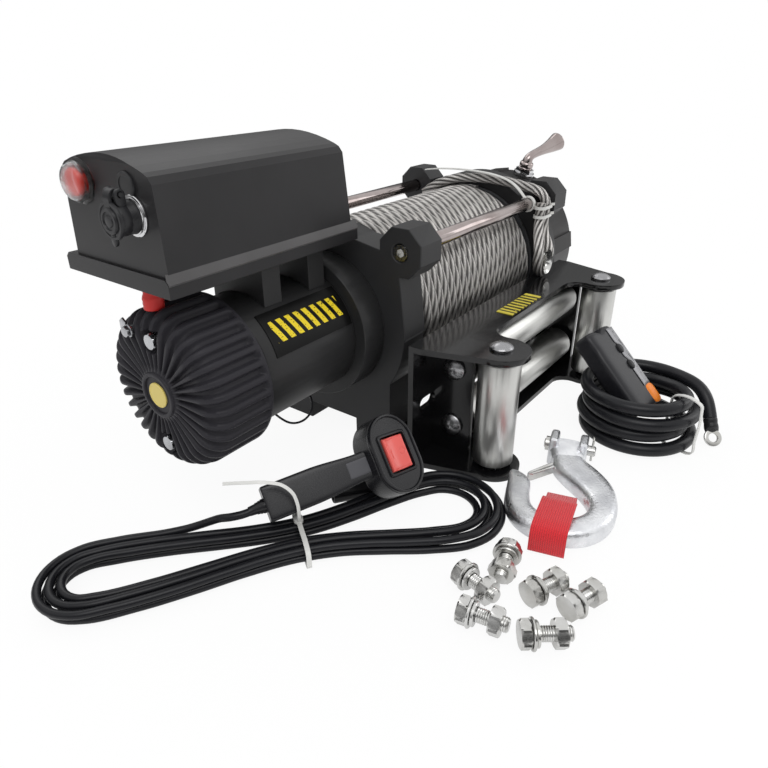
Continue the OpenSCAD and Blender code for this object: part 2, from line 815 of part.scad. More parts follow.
hinge_x = box_x + 2 - 2 - socket_l + 3;
hinge_z = socket_z + socket_r + 4.5;
module socket_body() {
    color("#c3c6c8") {
        difference() {
            translate([box_x + 2, socket_y, socket_z]) rotate([0, -90, 0]) difference() {
                union() {
                    translate([0, 0, -9]) cylinder(r = 9, h = 11);
                    cylinder(r = 13, h = 2);
                    cylinder(r = socket_r, h = socket_l + 2);
                    translate([-socket_r - 2, -3, 0]) cube([6, 6, 8]);
                }
                translate([0, 0, 4]) cylinder(r = socket_r - 2.5, h = socket_l);
            }
        }
        for (s = [-1, 1]) translate([hinge_x, socket_y + s * 5, hinge_z]) difference() {
            union() {
                rotate([90, 0, 0]) translate([0, 0, -1.5]) cylinder(r = 3.5, h = 3);
                translate([-3, -1.5, -7.5]) cube([6.5, 3, 7.5]);
            }
            rotate([90, 0, 0]) translate([0, 0, -2]) cylinder(r = 1.5 + fit, h = 4);
        }
        translate([box_x + 2, socket_y, socket_z]) rotate([0, -90, 0])
            for (k = [0:3]) rotate(k * 90 + 45) translate([4.2, 0, 3]) cylinder(r = 1.2, h = socket_l - 4);
    }
}

module socket_cap() {
    end_x = box_x - socket_l - gap;
    color("#b9bcbe") {
        translate([end_x, socket_y, socket_z]) rotate([0, -90, 0]) {
            cylinder(r = socket_r + 1.2, h = 2.5);
            translate([0, 0, 2.4]) cylinder(r = socket_r - 3, h = 1.2);
            translate([-socket_r - 4, -3, 0]) cube([8, 6, 2.5]);
        }
        translate([end_x - 2.5, socket_y - 3, socket_z + socket_r - 3])
            cube([2.5, 6, hinge_z - socket_z - socket_r + 5]);
        translate([end_x - 2.5, socket_y - 3, hinge_z - 1]) cube([hinge_x - end_x + 2.5, 6, 2.4]);
        translate([hinge_x, socket_y, hinge_z]) rotate([90, 0, 0]) {
            translate([0, 0, -3]) cylinder(r = 3, h = 6);
            translate([0, 0, -7.5]) cylinder(r = 1.5, h = 15);
        }
    }
}

// Fairlead flange seen from above: a strip with two round lobes and hollow corners
module flange_outline() {
    fillet_r = 16;
    reach = lobe_r + fillet_r;
    dy = strip_y - fillet_r - post_y;
    xf = post_x - sqrt(reach * reach - dy * dy);
    for (s = [-1, 1]) difference() {
        union() {
            translate([s * post_x, post_y]) circle(r = lobe_r);
            polygon([
                [0, back_y], [s * lead_half_w, back_y], [s * lead_half_w, back_y - 12],
                [s * (post_x + lobe_r), post_y], [s * post_x, post_y],
                [s * (post_x - lobe_r * (post_x - xf) / reach), post_y + lobe_r * dy / reach],
                [s * xf, strip_y - fillet_r], [s * xf, strip_y], [0, strip_y]
            ]);
        }
        translate([s * xf, strip_y - fillet_r]) circle(r = fillet_r);
    }
}

module fairlead_frame() {
    window_w = 95;
    color("#18191b") difference() {
        union() {
            translate([-lead_half_w, plate_y, 0]) cube([2 * lead_half_w, plate_t, lead_h]);
            for (z = [0, lead_h - plate_t]) translate([0, 0, z]) linear_extrude(plate_t) flange_outline();
            for (s = [-1, 1]) translate([s > 0 ? side_x : -side_x - plate_t, strip_y - 2, 1])
                cube([plate_t, plate_y - strip_y + 3, lead_h - 2]);
        }
        translate([-window_w, plate_y - 1, 20]) cube([2 * window_w, plate_t + 2, lead_h - 40]);
        for (s = [-1, 1]) {
            translate([s * bolt_x / 2, plate_y - 1, 54]) rotate([-90, 0, 0]) {
                for (d = [-6, 6]) translate([d, 0, 0]) cylinder(r = foot_bolt_r, h = plate_t + 2);
                translate([-6, -foot_bolt_r, 0]) cube([12, 2 * foot_bolt_r, plate_t + 2]);
            }
            translate([s * post_x, post_y, -1]) cylinder(r = pin_r + fit, h = lead_h + 2);
            for (z = [upper_z, lower_z]) translate([s * (side_x + plate_t / 2) - plate_t, roller_y, z])
                rotate([0, 90, 0]) cylinder(r = pin_r + fit, h = 2 * plate_t);
        }
    }
}

module roller(l) {
    color("#cfd1d2") difference() {
        union() {
            cylinder(r = roller_r - 0.8, h = l);
            translate([0, 0, 0.8]) cylinder(r = roller_r, h = l - 1.6);
        }
        translate([0, 0, -1]) cylinder(r = pin_r + fit, h = l + 2);
    }
}

module left_roller() {
    translate([-post_x, post_y, post_z0]) roller(post_l);
}

module right_roller() {
    translate([post_x, post_y, post_z0]) roller(post_l);
}

module upper_roller() {
    translate([-roller_half_l, roller_y, upper_z]) rotate([0, 90, 0]) roller(2 * roller_half_l);
}

module lower_roller() {
    translate([-roller_half_l, roller_y, lower_z]) rotate([0, 90, 0]) roller(2 * roller_half_l);
}

// A pin with a low domed head whose underside is at z = 0 and whose shank hangs below
module domed_pin(l) {
    intersection() {
        cylinder(r = 9.8, h = 6);
        translate([0, 0, 6 - 14]) sphere(r = 14);
    }
    translate([0, 0, -l]) cylinder(r = pin_r, h = l + 1);
}

module roller_pins() {
    color("#2a2b2d") {
        for (s = [-1, 1]) translate([s * post_x, post_y, lead_h]) {
            domed_pin(lead_h - 0.5);
            translate([0, 0, -plate_t - 3.1]) tube(11, pin_r + fit, 3);
        }
        for (s = [-1, 1]) translate([s * post_x, post_y, plate_t + 0.1]) tube(11, pin_r + fit, 3);
        for (z = [upper_z, lower_z]) translate([-side_x - plate_t, roller_y, z]) rotate([0, -90, 0])
            domed_pin(2 * side_x + 2 * plate_t);
        for (z = [upper_z, lower_z]) translate([side_x + plate_t + 0.1, roller_y, z]) rotate([0, 90, 0])
            translate([0, 0, 0]) cylinder(r = 8.5, h = 2.5);
    }
}

module fairlead_plate() {
    color("#c8a93e") translate([-40, -131, lead_h]) cube([61, 16, 0.8]);
}

tail_path = [
    [98, 56.8, 179.7], [98, 51, 184.2], [98.6, 30.2, 195.1], [99, 12, 200], [99.5, -8, 202], [100, -30, 202.4],
    [100.4, -52, 200.6], [100.8, -68, 198.3], [101, -79, 196.6], [101.5, -86.5, 192.6], [101.9, -90.6, 186],
    [102, -91.4, 177], [101.8, -91.2, 168], [100.5, -92.5, 158], [98, -96.5, 150], [95.5, -101.5, 143],
    [93.5, -104, 137], [92.3, -104, 131], [91.6, -104, 126], [88.5, -104, 121], [84, -104, 118.9],
    [79, -104, 118.6], [74, -104, 120], [70, -104, 123.6], [68, -104, 128.5], [67, -104, 134],
    [67.6, -103.8, 140], [70.5, -101.8, 147], [76, -98, 154], [83, -94.2, 161], [89.2, -91.6, 168],
    [90.2, -91.2, 176], [90.5, -91.2, 186]
];
echo("least gap along the rope tail", self_gap(tail_path, rope_d, 4));
module rope_tail() {
    color("#a9abad") sweep(tail_path, ring_outline(rope_r, 8), [1, 0, 0]);
}

module thimble() {
    color("#cdd0d2") translate([79.8, -104, 130]) rotate([90, 0, 0]) translate([0, 0, -6.2]) {
        tube(6.4, 4.8, 12.4);
        for (z = [0, 11.3]) translate([0, 0, z]) tube(11.5, 4.8, 1.1);
    }
}

strap_path = [
    [107.6, 62, 203.5], [106.6, 45, 206], [104, 30, 207.6], [100, 8, 209], [96, -14, 209.4], [92, -38, 207.8],
    [87, -58, 203.4], [82, -70, 197.5], [80, -77.5, 191.2]
];
module rope_ties() {
    color("#e6e7e8") {
        for (z = [171, 180]) translate([96.1, -91.3, z]) linear_extrude(3) difference() {
            band_outline(6.4, 6.8);
            band_outline(6.4, 5.6);
        }
        translate([86, -rod_y, rod_z]) rotate([0, 90, 0]) tube(rod_r + 1.6, rod_r + fit, 4);
        sweep(strap_path, [[2, 0.4], [-2, 0.4], [-2, -0.4], [2, -0.4]], [1, 0, 0]);
    }
}

module band_outline(half, r) {
    for (s = [-1, 1]) translate([s * half, 0]) circle(r = r);
    square([2 * half, 2 * r], center = true);
}

// The frame of the hook lying on the floor: x runs from the bowl to the clevis
module on_hook() {
    translate([hook_at[0], hook_at[1], 0]) rotate(hook_turn) children();
}

latch_at = [54, 4];
module hook_outline() {
    difference() {
        union() {
            intersection() {
                translate([0, -3]) circle(r = 43, $fn = 96);
                polygon([[-60, -60], [10, -60], [10, 10], [26, 60], [-60, 60]]);
            }
            polygon([
                [0, -46], [14, -46], [28, -43], [42, -36], [52, -28], [61, -18], [hook_reach, -13],
                [hook_reach, 13], [62, 11], [46, 8], [34, -2], [20, -16], [0, -26]
            ]);
            polygon([[4, 39], [20, 40], [29, 42.5], [34, 39.5], [35, 37], [28, 27], [18, 18], [4, 23]]);
        }
        translate([0, -3]) circle(r = 22, $fn = 96);
    }
}

module hook_body() {
    color("#a6a9ac") on_hook() {
        difference() {
            linear_extrude(hook_t) hook_outline();
            translate([latch_at[0] - 14, latch_at[1] - 5, hook_t / 2 - 4 - gap]) cube([20, 30, 8 + 2 * gap]);
            translate([latch_at[0] - 30, latch_at[1] + 3, hook_t / 2 - 4 - gap]) cube([36, 34, 8 + 2 * gap]);
        }
        translate([latch_at[0], latch_at[1], 2]) cylinder(r = 2.5, h = hook_t - 4);
        difference() {
            union() {
                for (s = [-1, 1]) translate([hook_reach + 12, s * 12.5, clevis_r]) rotate([90, 0, 0])
                    translate([0, 0, -3.5]) cylinder(r = clevis_r, h = 7);
                translate([hook_reach - 8, -16, 0]) cube([9, 32, hook_t]);
                for (s = [-1, 1]) translate([hook_reach - 2, s * 12.5 - 3.5, 0]) cube([14, 7, 2 * clevis_r]);
            }
            translate([hook_reach + 12, -20, clevis_r]) rotate([-90, 0, 0]) cylinder(r = 4.5 + fit, h = 40);
            translate([hook_reach + 12, 0, 0]) translate([-10, -9, -1]) cube([26, 18, 30]);
        }
    }
}

module hook_latch() {
    color("#c4c6c8") on_hook() translate([latch_at[0], latch_at[1], hook_t / 2 - 4]) difference() {
        union() {
            cylinder(r = 5, h = 8);
            rotate(140) translate([0, -4.5, 0]) cube([33, 6, 8]);
        }
        translate([0, 0, -1]) cylinder(r = 2.5 + fit, h = 10);
    }
}

module clevis_pin() {
    color("#d2d4d6") on_hook() translate([hook_reach + 12, 0, clevis_r]) rotate([90, 0, 0]) {
        difference() {
            union() {
                translate([0, 0, -21]) cylinder(r = 4.5, h = 44);
                translate([0, 0, -20]) cylinder(r = 6.5, h = 3.6);
            }
            translate([0, 10, 20]) rotate([90, 0, 0]) cylinder(r = 1.2, h = 20);
        }
        translate([0, 9, 20]) rotate([90, 0, 0]) cylinder(r = 1, h = 19);
        translate([0, 9, 20]) rotate([0, 90, 0]) rotate_extrude(angle = 200, $fn = 48) translate([2.8, 0]) circle(r = 1, $fn = 24);
    }
}

strap_lift = hook_t + gap;
strap_loop = [
    [-11, 8, 1.3], [-12.4, 8, 9], [-13.6, 8, strap_lift + 1.6], [-20, 8, strap_lift + 2.6],
    [-32, 8, strap_lift + 2.6], [-42, 8, strap_lift + 1.8], [-47.5, 8, strap_lift - 2], [-48, 8, 9], [-48, 8, 1.3]
];
module hook_strap() {
    color("#c81e28") on_hook() translate([0, -14, 0]) {
        difference() {
            sweep(strap_loop, [[1, 13], [-1, 13], [-1, -13], [1, -13]], [1, 0, 0]);
            translate([-80, -40, -9]) cube([120, 90, 9.3]);
        }
    }
}

// The frame of the handset: x runs down the handle, z out of the face
module on_handset() {
    translate([handset_at[0], handset_at[1], handset_z]) rotate([0, handset_pitch, handset_yaw])
        rotate([-handset_roll, 0, 0]) children();
}

// The head leans away from the handle about the rocker's pin
module on_head() {
    on_handset() translate([0, 0, 2]) rotate([0, -head_lean, 0]) translate([0, 0, -2]) children();
}

// The oval of the head seen on its face, long across the handle
module head_oval(inset) {
    for (s = [-1, 1]) translate([0, s * (head_r - head_w / 2)]) circle(r = head_w / 2 - inset, $fn = 96);
    translate([-head_w / 2 + inset, -head_r + head_w / 2]) square([head_w - 2 * inset, 2 * head_r - head_w]);
}

// The handle seen on its face: narrow neck, wide grip, flat cut end
module handle_outline(inset) {
    w = handle_w / 2 - inset;
    polygon([
        [4, -9 + inset], [24, -9 + inset], [44, -w + 1], [handle_l - 34, -w], [handle_l - inset, -w + 3],
        [handle_l - inset, w - 3], [handle_l - 34, w], [44, w - 1], [24, 9 - inset], [4, 9 - inset]
    ]);
}

module handset_body() {
    color("#1b1c1e") difference() {
        union() {
            on_head() translate([0, 0, -handset_t / 2]) linear_extrude(handset_t) head_oval(1.5);
            on_head() translate([0, 0, -handset_t / 2 + 1.5]) linear_extrude(handset_t - 3) head_oval(0);
            on_handset() translate([0, 0, -1 - handle_t / 2]) linear_extrude(handle_t) handle_outline(2);
            on_handset() translate([0, 0, 1 - handle_t / 2]) linear_extrude(handle_t - 4) handle_outline(0);
            on_handset() translate([handle_l - 1, 0, -1]) rotate([0, 90, 0]) cylinder(r = 5.5, h = gland_l + 1);
        }
        on_head() translate([-12.7, -14, -4]) cube([25.4, 28, handset_t + 8]);
        on_handset() translate([handle_l, 0, -1]) rotate([0, 90, 0])
            cylinder(r = lead_d / 2 + 0.4, h = gland_l + 1);
        on_handset() translate([0, -20, 2]) rotate([-90, 0, 0]) cylinder(r = 2 + fit, h = 40);
    }
}

module handset_rocker() {
    color("#d0322c") on_head() union() {
        translate([0, 13.6, 2]) rotate([90, 0, 0]) linear_extrude(27.2)
            polygon([[-10.5, 4], [-10.5, 11], [0, 9], [10.5, 11], [10.5, 4], [4, -2], [-4, -2]]);
        translate([0, -17, 2]) rotate([-90, 0, 0]) cylinder(r = 2, h = 34);
    }
}

// A point of the handset frame in the shared frame
function handset_point(p) =
    let (r = handset_roll, q = handset_pitch, w = handset_yaw,
        a = [p[0], p[1] * cos(r) + p[2] * sin(r), p[2] * cos(r) - p[1] * sin(r)],
        b = [a[0] * cos(q) + a[2] * sin(q), a[1], a[2] * cos(q) - a[0] * sin(q)])
    [handset_at[0] + b[0] * cos(w) - b[1] * sin(w), handset_at[1] + b[0] * sin(w) + b[1] * cos(w), handset_z + b[2]];

// The free stretches of the lead: from the gland down to the hank, and from the hank to its plug
gland_run = [
    [-42, 12, 29], [-49, 17.5, 25.5], [-56, 23.5, 20], [-63, 28, 15.3], [-72, 30.7, 12], [-84.6, 31.45, 11]
];
plug_run = [[119.3, 45.5, 4.5], [112, 45.5, 4.8], [104, 45, 6], [96, 44, 8], [88, 43.4, 9], [80, 43.4, 9]];
module handset_lead() {
    lead_r = lead_d / 2 - 0.05;
    color("#151617") {
        sweep(concat(
            [handset_point([handle_l + 2, 0, -1]), handset_point([handle_l + gland_l + 6, 0, -1])],
            [for (p = gland_run) on_floor([p[0], p[1]], p[2])]
        ), ring_outline(lead_r, 8), [0, 0, 1]);
        sweep([for (p = plug_run) on_floor([p[0], p[1]], p[2])], ring_outline(lead_r, 8), [0, 0, 1]);
    }
}

module lead_hank() {
    color("#151617") sweep(hank_path, ring_outline(lead_d / 2, 6), [0, 0, 1]);
}

module lead_plug() {
    color("#1b1c1e") translate(on_floor([86, 43.4], 9)) rotate([0, 0, hank_turn]) rotate([0, -90, 0]) difference() {
        union() {
            cylinder(r = 7, h = 12);
            translate([0, 0, 11]) cylinder(r = 9, h = 36);
        }
        translate([0, 0, -1]) cylinder(r = lead_d / 2 + gap, h = 9);
        translate([0, 0, 30]) cylinder(r = 7.4, h = 20);
    }
}

module cable_ties() {
    half = 28;
    high = 2 * lead_d + 0.5;
    color("#e6e7e8") {
        translate([hank_at[0], hank_at[1], 0]) rotate([0, 0, hank_turn]) slab_x(4, 3.5) difference() {
            translate([-half, 0]) square([2 * half, high + 2 * tie_t + 0.6]);
            translate([-half + 1.2, 1.2]) square([2 * half - 2.4, high + 2 * tie_t + 0.6 - 2.4]);
        }
        translate([coil_at[0], coil_at[1], 0]) rotate([0, 0, -104]) translate([coil_r - coil_step - cable_d / 2 - 1.8, -2, 0])
            difference() {
                cube([coil_step + cable_d + 3.6, 4, coil_layers * coil_step + 3.2]);
                translate([1.2, -1, 1.2]) cube([coil_step + cable_d + 1.2, 6, coil_layers * coil_step + 0.8]);
            }
    }
}

module power_coil() {
    color("#151617") sweep(coil_path, ring_outline(cable_d / 2, 6), [0, 0, 1]);
}

// The free end of the power cable, counted along, beside and above the end of its coil
cable_run = [
    [0.2, 0, 0], [5.6, 0, -0.45], [11.07, -0.01, -1.73], [16.27, -0.39, -3.84], [21.02, -1.23, -6.7],
    [25.21, -2.37, -10.27], [28.74, -3.64, -14.45], [31.91, -5.05, -18.89], [34.97, -6.67, -23.32]
];
function coil_side(p) =
    let (d = coil_out / cable_d) coil_end + [d[0] * p[0] - d[1] * p[1], d[1] * p[0] + d[0] * p[1], p[2]];
cable_free = [for (p = cable_run) coil_side(p)];
module power_cable() {
    color("#151617") sweep(cable_free, ring_outline(cable_d / 2, 8), [0, 0, 1]);
}

// A ring lug that starts at p and runs along d
module ring_lug(p, d) {
    translate(p) rotate([0, acos(d[2] / norm(d)), atan2(d[1], d[0])]) translate([0, 0, 0.3]) difference() {
        union() {
            cylinder(r = cable_d / 2 + 0.4, h = 9);
            translate([-1.2, 0, 18]) rotate([0, 90, 0]) cylinder(r = 8, h = 2.4);
            translate([-1.2, -6, 8]) cube([2.4, 12, 11]);
        }
        translate([-3, 0, 18]) rotate([0, 90, 0]) cylinder(r = 4.2, h = 6);
    }
}

module cable_lugs() {
    n = len(cable_free);
    color("#c9cbcd") {
        ring_lug(cable_free[n - 1], cable_free[n - 1] - cable_free[n - 2]);
        ring_lug(coil_path[0], -coil_out);
    }
}

module remote_body() {
    color("#242527") translate(remote_at) rotate([0, -remote_pitch, remote_yaw]) difference() {
        union() {
            translate([0, -21, -11]) cube([82, 42, 22]);
            translate([0, -17, -11]) cube([88, 34, 22]);
            for (s = [-1, 1]) translate([82, s * 15, -11]) cylinder(r = 6, h = 22);
            for (y = [-9, 9]) translate([52, y, 10]) cylinder(r = 6.5, h = 2.6);
        }
        translate([10, -16, 9.6]) cube([28, 32, 3]);
    }
}

// A mounting bolt with its washer and nut, lying on the floor with its head at p
module lying_set(p, yaw) {
    washer_r = 10.2;
    translate([p[0], p[1], washer_r]) rotate([0, 90, yaw]) {
        rotate(30) hexagon_head(17, 7);
        translate([0, 0, 6]) cylinder(r = stud_r, h = 27);
        translate([0, 0, 7.1]) tube(washer_r, stud_r + fit, 2);
        translate([0, 0, 21]) difference() {
            rotate(30) hexagon_head(17, 8);
            translate([0, 0, -1]) cylinder(r = stud_r + fit, h = 10);
        }
    }
}

module mounting_fasteners() {
    color("#c9cbcd") {
        lying_set([-247, -205], -102);
        lying_set([-206, -222], -164);
        lying_set([-276, -222], -79);
        lying_set([-240, -252], -24);
        lying_set([-272, -262], -52);
        lying_set([-236, -277], -20);
    }
}

motor_support();
gear_support();
tie_rods();
tie_rod_bolts();
drum();
drum_bushes();
rope_winding();
drive_shaft();
drum_brake();
motor_end_bell();
motor_can();
field_poles();
armature();
brush_gear();
motor_cap();
cap_bolts();
hub_badge();
can_label();
motor_boots();
earth_wire();
gear_housing();
ring_gear();
first_stage();
second_stage();
output_stage();
clutch_boss();
clutch_lever();
clutch_plunger();
box_cover();
box_bracket();
contactor();
switch_boot();
power_button();
socket_body();
socket_cap();
fairlead_frame();
left_roller();
right_roller();
upper_roller();
lower_roller();
roller_pins();
fairlead_plate();
rope_tail();
thimble();
rope_ties();
hook_body();
hook_latch();
clevis_pin();
hook_strap();
handset_body();
handset_rocker();
handset_lead();
lead_hank();
cable_ties();
lead_plug();
power_coil();
power_cable();
cable_lugs();
remote_body();
mounting_fasteners();
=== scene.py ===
import logging
import math
from dataclasses import dataclass, field
from enum import Enum
from functools import partial
from typing import Callable, Sequence

import bpy
import numpy as np
from mathutils import Matrix, Vector


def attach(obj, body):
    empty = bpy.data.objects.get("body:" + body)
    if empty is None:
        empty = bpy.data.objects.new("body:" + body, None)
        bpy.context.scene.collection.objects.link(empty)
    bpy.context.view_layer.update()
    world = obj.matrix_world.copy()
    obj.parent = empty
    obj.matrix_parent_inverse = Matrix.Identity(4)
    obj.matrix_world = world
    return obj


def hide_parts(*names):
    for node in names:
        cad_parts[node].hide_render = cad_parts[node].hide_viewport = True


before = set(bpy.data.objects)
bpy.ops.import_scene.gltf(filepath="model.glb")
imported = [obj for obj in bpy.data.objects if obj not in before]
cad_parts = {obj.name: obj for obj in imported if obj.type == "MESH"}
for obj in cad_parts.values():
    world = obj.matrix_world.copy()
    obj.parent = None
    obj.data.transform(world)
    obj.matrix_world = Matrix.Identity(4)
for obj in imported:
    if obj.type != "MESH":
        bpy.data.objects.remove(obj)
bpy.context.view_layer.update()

Array = np.ndarray
Pair = tuple[float, float]
Point = tuple[float, float, float]
Colour = Point
Rows = tuple[tuple[float, ...], ...]
MM = 0.001
TURN = 2 * math.pi
WELD_M = 0.00001
EDGE_DEGREES = 38.0
log = logging.getLogger("winch")


# Shader maths

def operator(operation: str, swap: bool = False) -> Callable[["Field", "Field | float"], "Field"]:
    """A method of Field that joins it with another value.

    Args:
        operation: the Math node's operation.
        swap: whether the other value comes first.

    Returns:
        The method.
    """
    def method(self: "Field", other: "Field | float") -> "Field":
        """This and the other value, joined by one Math node."""
        return self.math(operation, *((other, self) if swap else (self, other)))

    return method


class Field:
    """A shader socket that takes part in sums, products and comparisons."""

    def __init__(self, tree: bpy.types.NodeTree, socket: bpy.types.NodeSocket) -> None:
        """Keeps the tree and the socket that the value comes from."""
        self.tree = tree
        self.socket = socket

    def math(self, operation: str, *terms: "Field | float") -> "Field":
        """Adds one Math node.

        Args:
            operation: the node's operation.
            terms: its inputs, in order.

        Returns:
            The node's value.
        """
        node = self.tree.nodes.new("ShaderNodeMath")
        node.operation = operation
        for socket, term in zip(node.inputs, terms):
            if isinstance(term, Field):
                self.tree.links.new(term.socket, socket)
            else:
                socket.default_value = float(term)
        return Field(self.tree, node.outputs[0])

    __add__, __radd__ = operator("ADD"), operator("ADD", True)
    __sub__, __rsub__ = operator("SUBTRACT"), operator("SUBTRACT", True)
    __mul__, __rmul__ = operator("MULTIPLY"), operator("MULTIPLY", True)
    __gt__, __lt__ = operator("GREATER_THAN"), operator("LESS_THAN")
    most, least = operator("MAXIMUM"), operator("MINIMUM")

    def wave(self) -> "Field":
        """The sine of this, moved into 0 to 1."""
        return self.math("SINE", self) * 0.5 + 0.5

    def size(self) -> "Field":
        """This without its sign."""
        return self.math("ABSOLUTE", self)

    def held(self) -> "Field":
        """This kept between 0 and 1."""
        return self.most(0.0).least(1.0)

    def part(self) -> "Field":
        """What is left of this over whole numbers."""
        return self.math("FRACT", self)


class Nodes:
    """The node tree of a material or of the world."""

    def __init__(self, owner: bpy.types.Material | bpy.types.World) -> None:
        """Empties the owner's tree."""
        owner.use_nodes = True
        self.tree = owner.node_tree
        self.tree.nodes.clear()

    def feed(self, socket: bpy.types.NodeSocket, value: object) -> None:
        """Links a Field or a socket to an input, or sets the input. Three numbers are an opaque colour.

        Args:
            socket: the input.
            value: what goes in.
        """
        if isinstance(value, (Field, bpy.types.NodeSocket)):
            self.tree.links.new(value.socket if isinstance(value, Field) else value, socket)
        else:
            socket.default_value = (*value, 1.0) if isinstance(value, tuple) and len(value) == 3 else value

    def node(self, kind: str, settings: dict | None = None, **values: object) -> bpy.types.Node:
        """Adds a node.

        Args:
            kind: the node's type.
            settings: its own settings, set before its sockets.
            values: socket values or Fields by socket name, with spaces as underscores.

        Returns:
            The node.
        """
        made = self.tree.nodes.new(kind)
        for key, value in (settings or {}).items():
            setattr(made, key, value)
        for key, value in values.items():
            self.feed(made.inputs[key.replace("_", " ")], value)
        return made

    def rays(self, *kinds: str) -> list[Field]:
        """For each kind of ray, a field that is 1 where it is one."""
        path = self.node("ShaderNodeLightPath")
        return [Field(self.tree, path.outputs[f"Is {kind} Ray"]) for kind in kinds]


class Palette(Nodes):
    """The nodes of one material, with its Principled shader ready."""

    def __init__(self, name: str) -> None:
        """Makes a material of that name."""
        self.material = bpy.data.materials.new(name + "_finish")
        super().__init__(self.material)
        self.out = self.node("ShaderNodeOutputMaterial")
        self.shader = self.node("ShaderNodeBsdfPrincipled")
        self.feed(self.out.inputs[0], self.shader.outputs[0])

    def place(self) -> bpy.types.NodeSocket:
        """Object coordinates, in metres."""
        return self.node("ShaderNodeTexCoord").outputs["Object"]

    def axes(self, source: bpy.types.NodeSocket) -> tuple[Field, Field, Field]:
        """The three parts of a vector."""
        parts = self.node("ShaderNodeSeparateXYZ", Vector=source)
        return tuple(Field(self.tree, s) for s in parts.outputs)

    def along(self) -> tuple[Field, Field]:
        """The piece's own map: metres along it, and turns round it."""
        return self.axes(self.node("ShaderNodeUVMap").outputs["UV"])[:2]

    def noise(self, scale: float, detail: float = 3.0) -> Field:
        """Cloudy values round a half, on Object coordinates.

        Args:
            scale: how many clouds to a metre.
            detail: how many finer layers.

        Returns:
            The values, 0 to 1.
        """
        made = self.node("ShaderNodeTexNoise", Vector=self.place(), Scale=scale, Detail=detail)
        return Field(self.tree, made.outputs["Fac"])

    def mixed(self, share: Field, low: Colour, high: Colour) -> bpy.types.NodeSocket:
        """A colour between two.

        Args:
            share: 0 gives low and 1 gives high.
            low: red, green and blue.
            high: red, green and blue.

        Returns:
            The colour socket.
        """
        made = self.node("ShaderNodeMix", {"data_type": "RGBA", "clamp_factor": True})
        for index, value in ((0, share), (6, low), (7, high)):
            self.feed(made.inputs[index], value)
        return made.outputs[2]

    def bump(self, height: Field, depth_mm: float) -> None:
        """Raises the surface by a height field whose full range is depth_mm."""
        made = self.node("ShaderNodeBump", Height=height, Strength=1.0, Distance=depth_mm * MM)
        self.set(Normal=made.outputs[0])

    def set(self, **values: object) -> None:
        """Sets or links sockets of the shader by name, with spaces as underscores."""
        for key, value in values.items():
            self.feed(self.shader.inputs[key.replace("_", " ")], value)


# Finishes

@dataclass(frozen=True)
class Paint:
    """Sprayed or powder coated metal.

    Fields: name, colour, roughness, grain size and depth of its orange peel in mm, share of clear gloss over it,
    and how strongly it mirrors.
    """
    name: str
    colour: Colour
    roughness: float
    grain_mm: float = 1.2
    depth_mm: float = 0.03
    coat: float = 0.0
    gleam: float = 0.28

    def material(self) -> bpy.types.Material:
        """Cloudy colour and roughness, a fine orange peel, and faint dust."""
        p = Palette(self.name)
        cloud = p.noise(14.0)
        dust = p.noise(60.0, 5.0)
        light = tuple(c * 1.35 + 0.004 for c in self.colour)
        p.set(Base_Color=p.mixed((cloud - 0.38) * 2.2 * dust, self.colour, light),
              Roughness=(self.roughness - 0.06 + 0.14 * cloud).held(), Specular_IOR_Level=self.gleam)
        p.set(Coat_Weight=self.coat, Coat_Roughness=0.06)
        p.bump(p.noise(1000.0 / self.grain_mm, 2.0), self.depth_mm)
        return p.material


@dataclass(frozen=True)
class Bright:
    """Bare or plated metal.

    Fields: name, colour, roughness, how much the roughness varies, depth of small dents in mm, their size,
    and a tint that comes and goes.
    """
    name: str
    colour: Colour
    roughness: float
    vary: float = 0.1
    depth_mm: float = 0.02
    grain_mm: float = 1.5
    tint: Colour | None = None

    def material(self) -> bpy.types.Material:
        """Metal with cloudy roughness, small dents and a faint tint."""
        p = Palette(self.name)
        cloud = p.noise(45.0, 4.0)
        fine = p.noise(1000.0 / self.grain_mm, 3.0)
        p.set(Base_Color=p.mixed((cloud - 0.35) * 2.0, self.colour, self.tint or tuple(c * 0.9 for c in self.colour)),
              Metallic=1.0, Roughness=(self.roughness + self.vary * (fine - 0.5) + self.vary * (cloud - 0.5)).held())
        p.bump(fine, self.depth_mm)
        return p.material


@dataclass(frozen=True)
class Moulded:
    """Moulded plastic or rubber.

    Fields: name, colour, roughness, spark grain size and depth in mm, sheen of rubber, and how strongly it mirrors.
    """
    name: str
    colour: Colour
    roughness: float
    grain_mm: float = 0.7
    depth_mm: float = 0.04
    sheen: float = 0.0
    gleam: float = 0.35

    def material(self) -> bpy.types.Material:
        """A spark eroded grain with soft changes of gloss."""
        p = Palette(self.name)
        cloud = p.noise(20.0)
        grain = p.noise(1000.0 / self.grain_mm, 2.0)
        light = tuple(c * 1.25 + 0.003 for c in self.colour)
        p.set(Base_Color=p.mixed((cloud - 0.4) * 2.5, self.colour, light),
              Roughness=(self.roughness + 0.12 * (cloud - 0.5) + 0.08 * (grain - 0.5)).held())
        p.set(Sheen_Weight=self.sheen, Sheen_Roughness=0.4, Specular_IOR_Level=self.gleam)
        p.bump(grain, self.depth_mm)
        return p.material


@dataclass(frozen=True)
class Clear:
    """See-through soft plastic."""
    name: str
    colour: Colour = (0.93, 0.94, 0.95)

    def material(self) -> bpy.types.Material:
        """A thin clear skin with a slight haze."""
        p = Palette(self.name)
        p.set(Base_Color=self.colour, Transmission_Weight=1.0, IOR=1.42)
        p.set(Roughness=(0.16 + 0.14 * p.noise(200.0)).held(), Alpha=0.8)
        return p.material


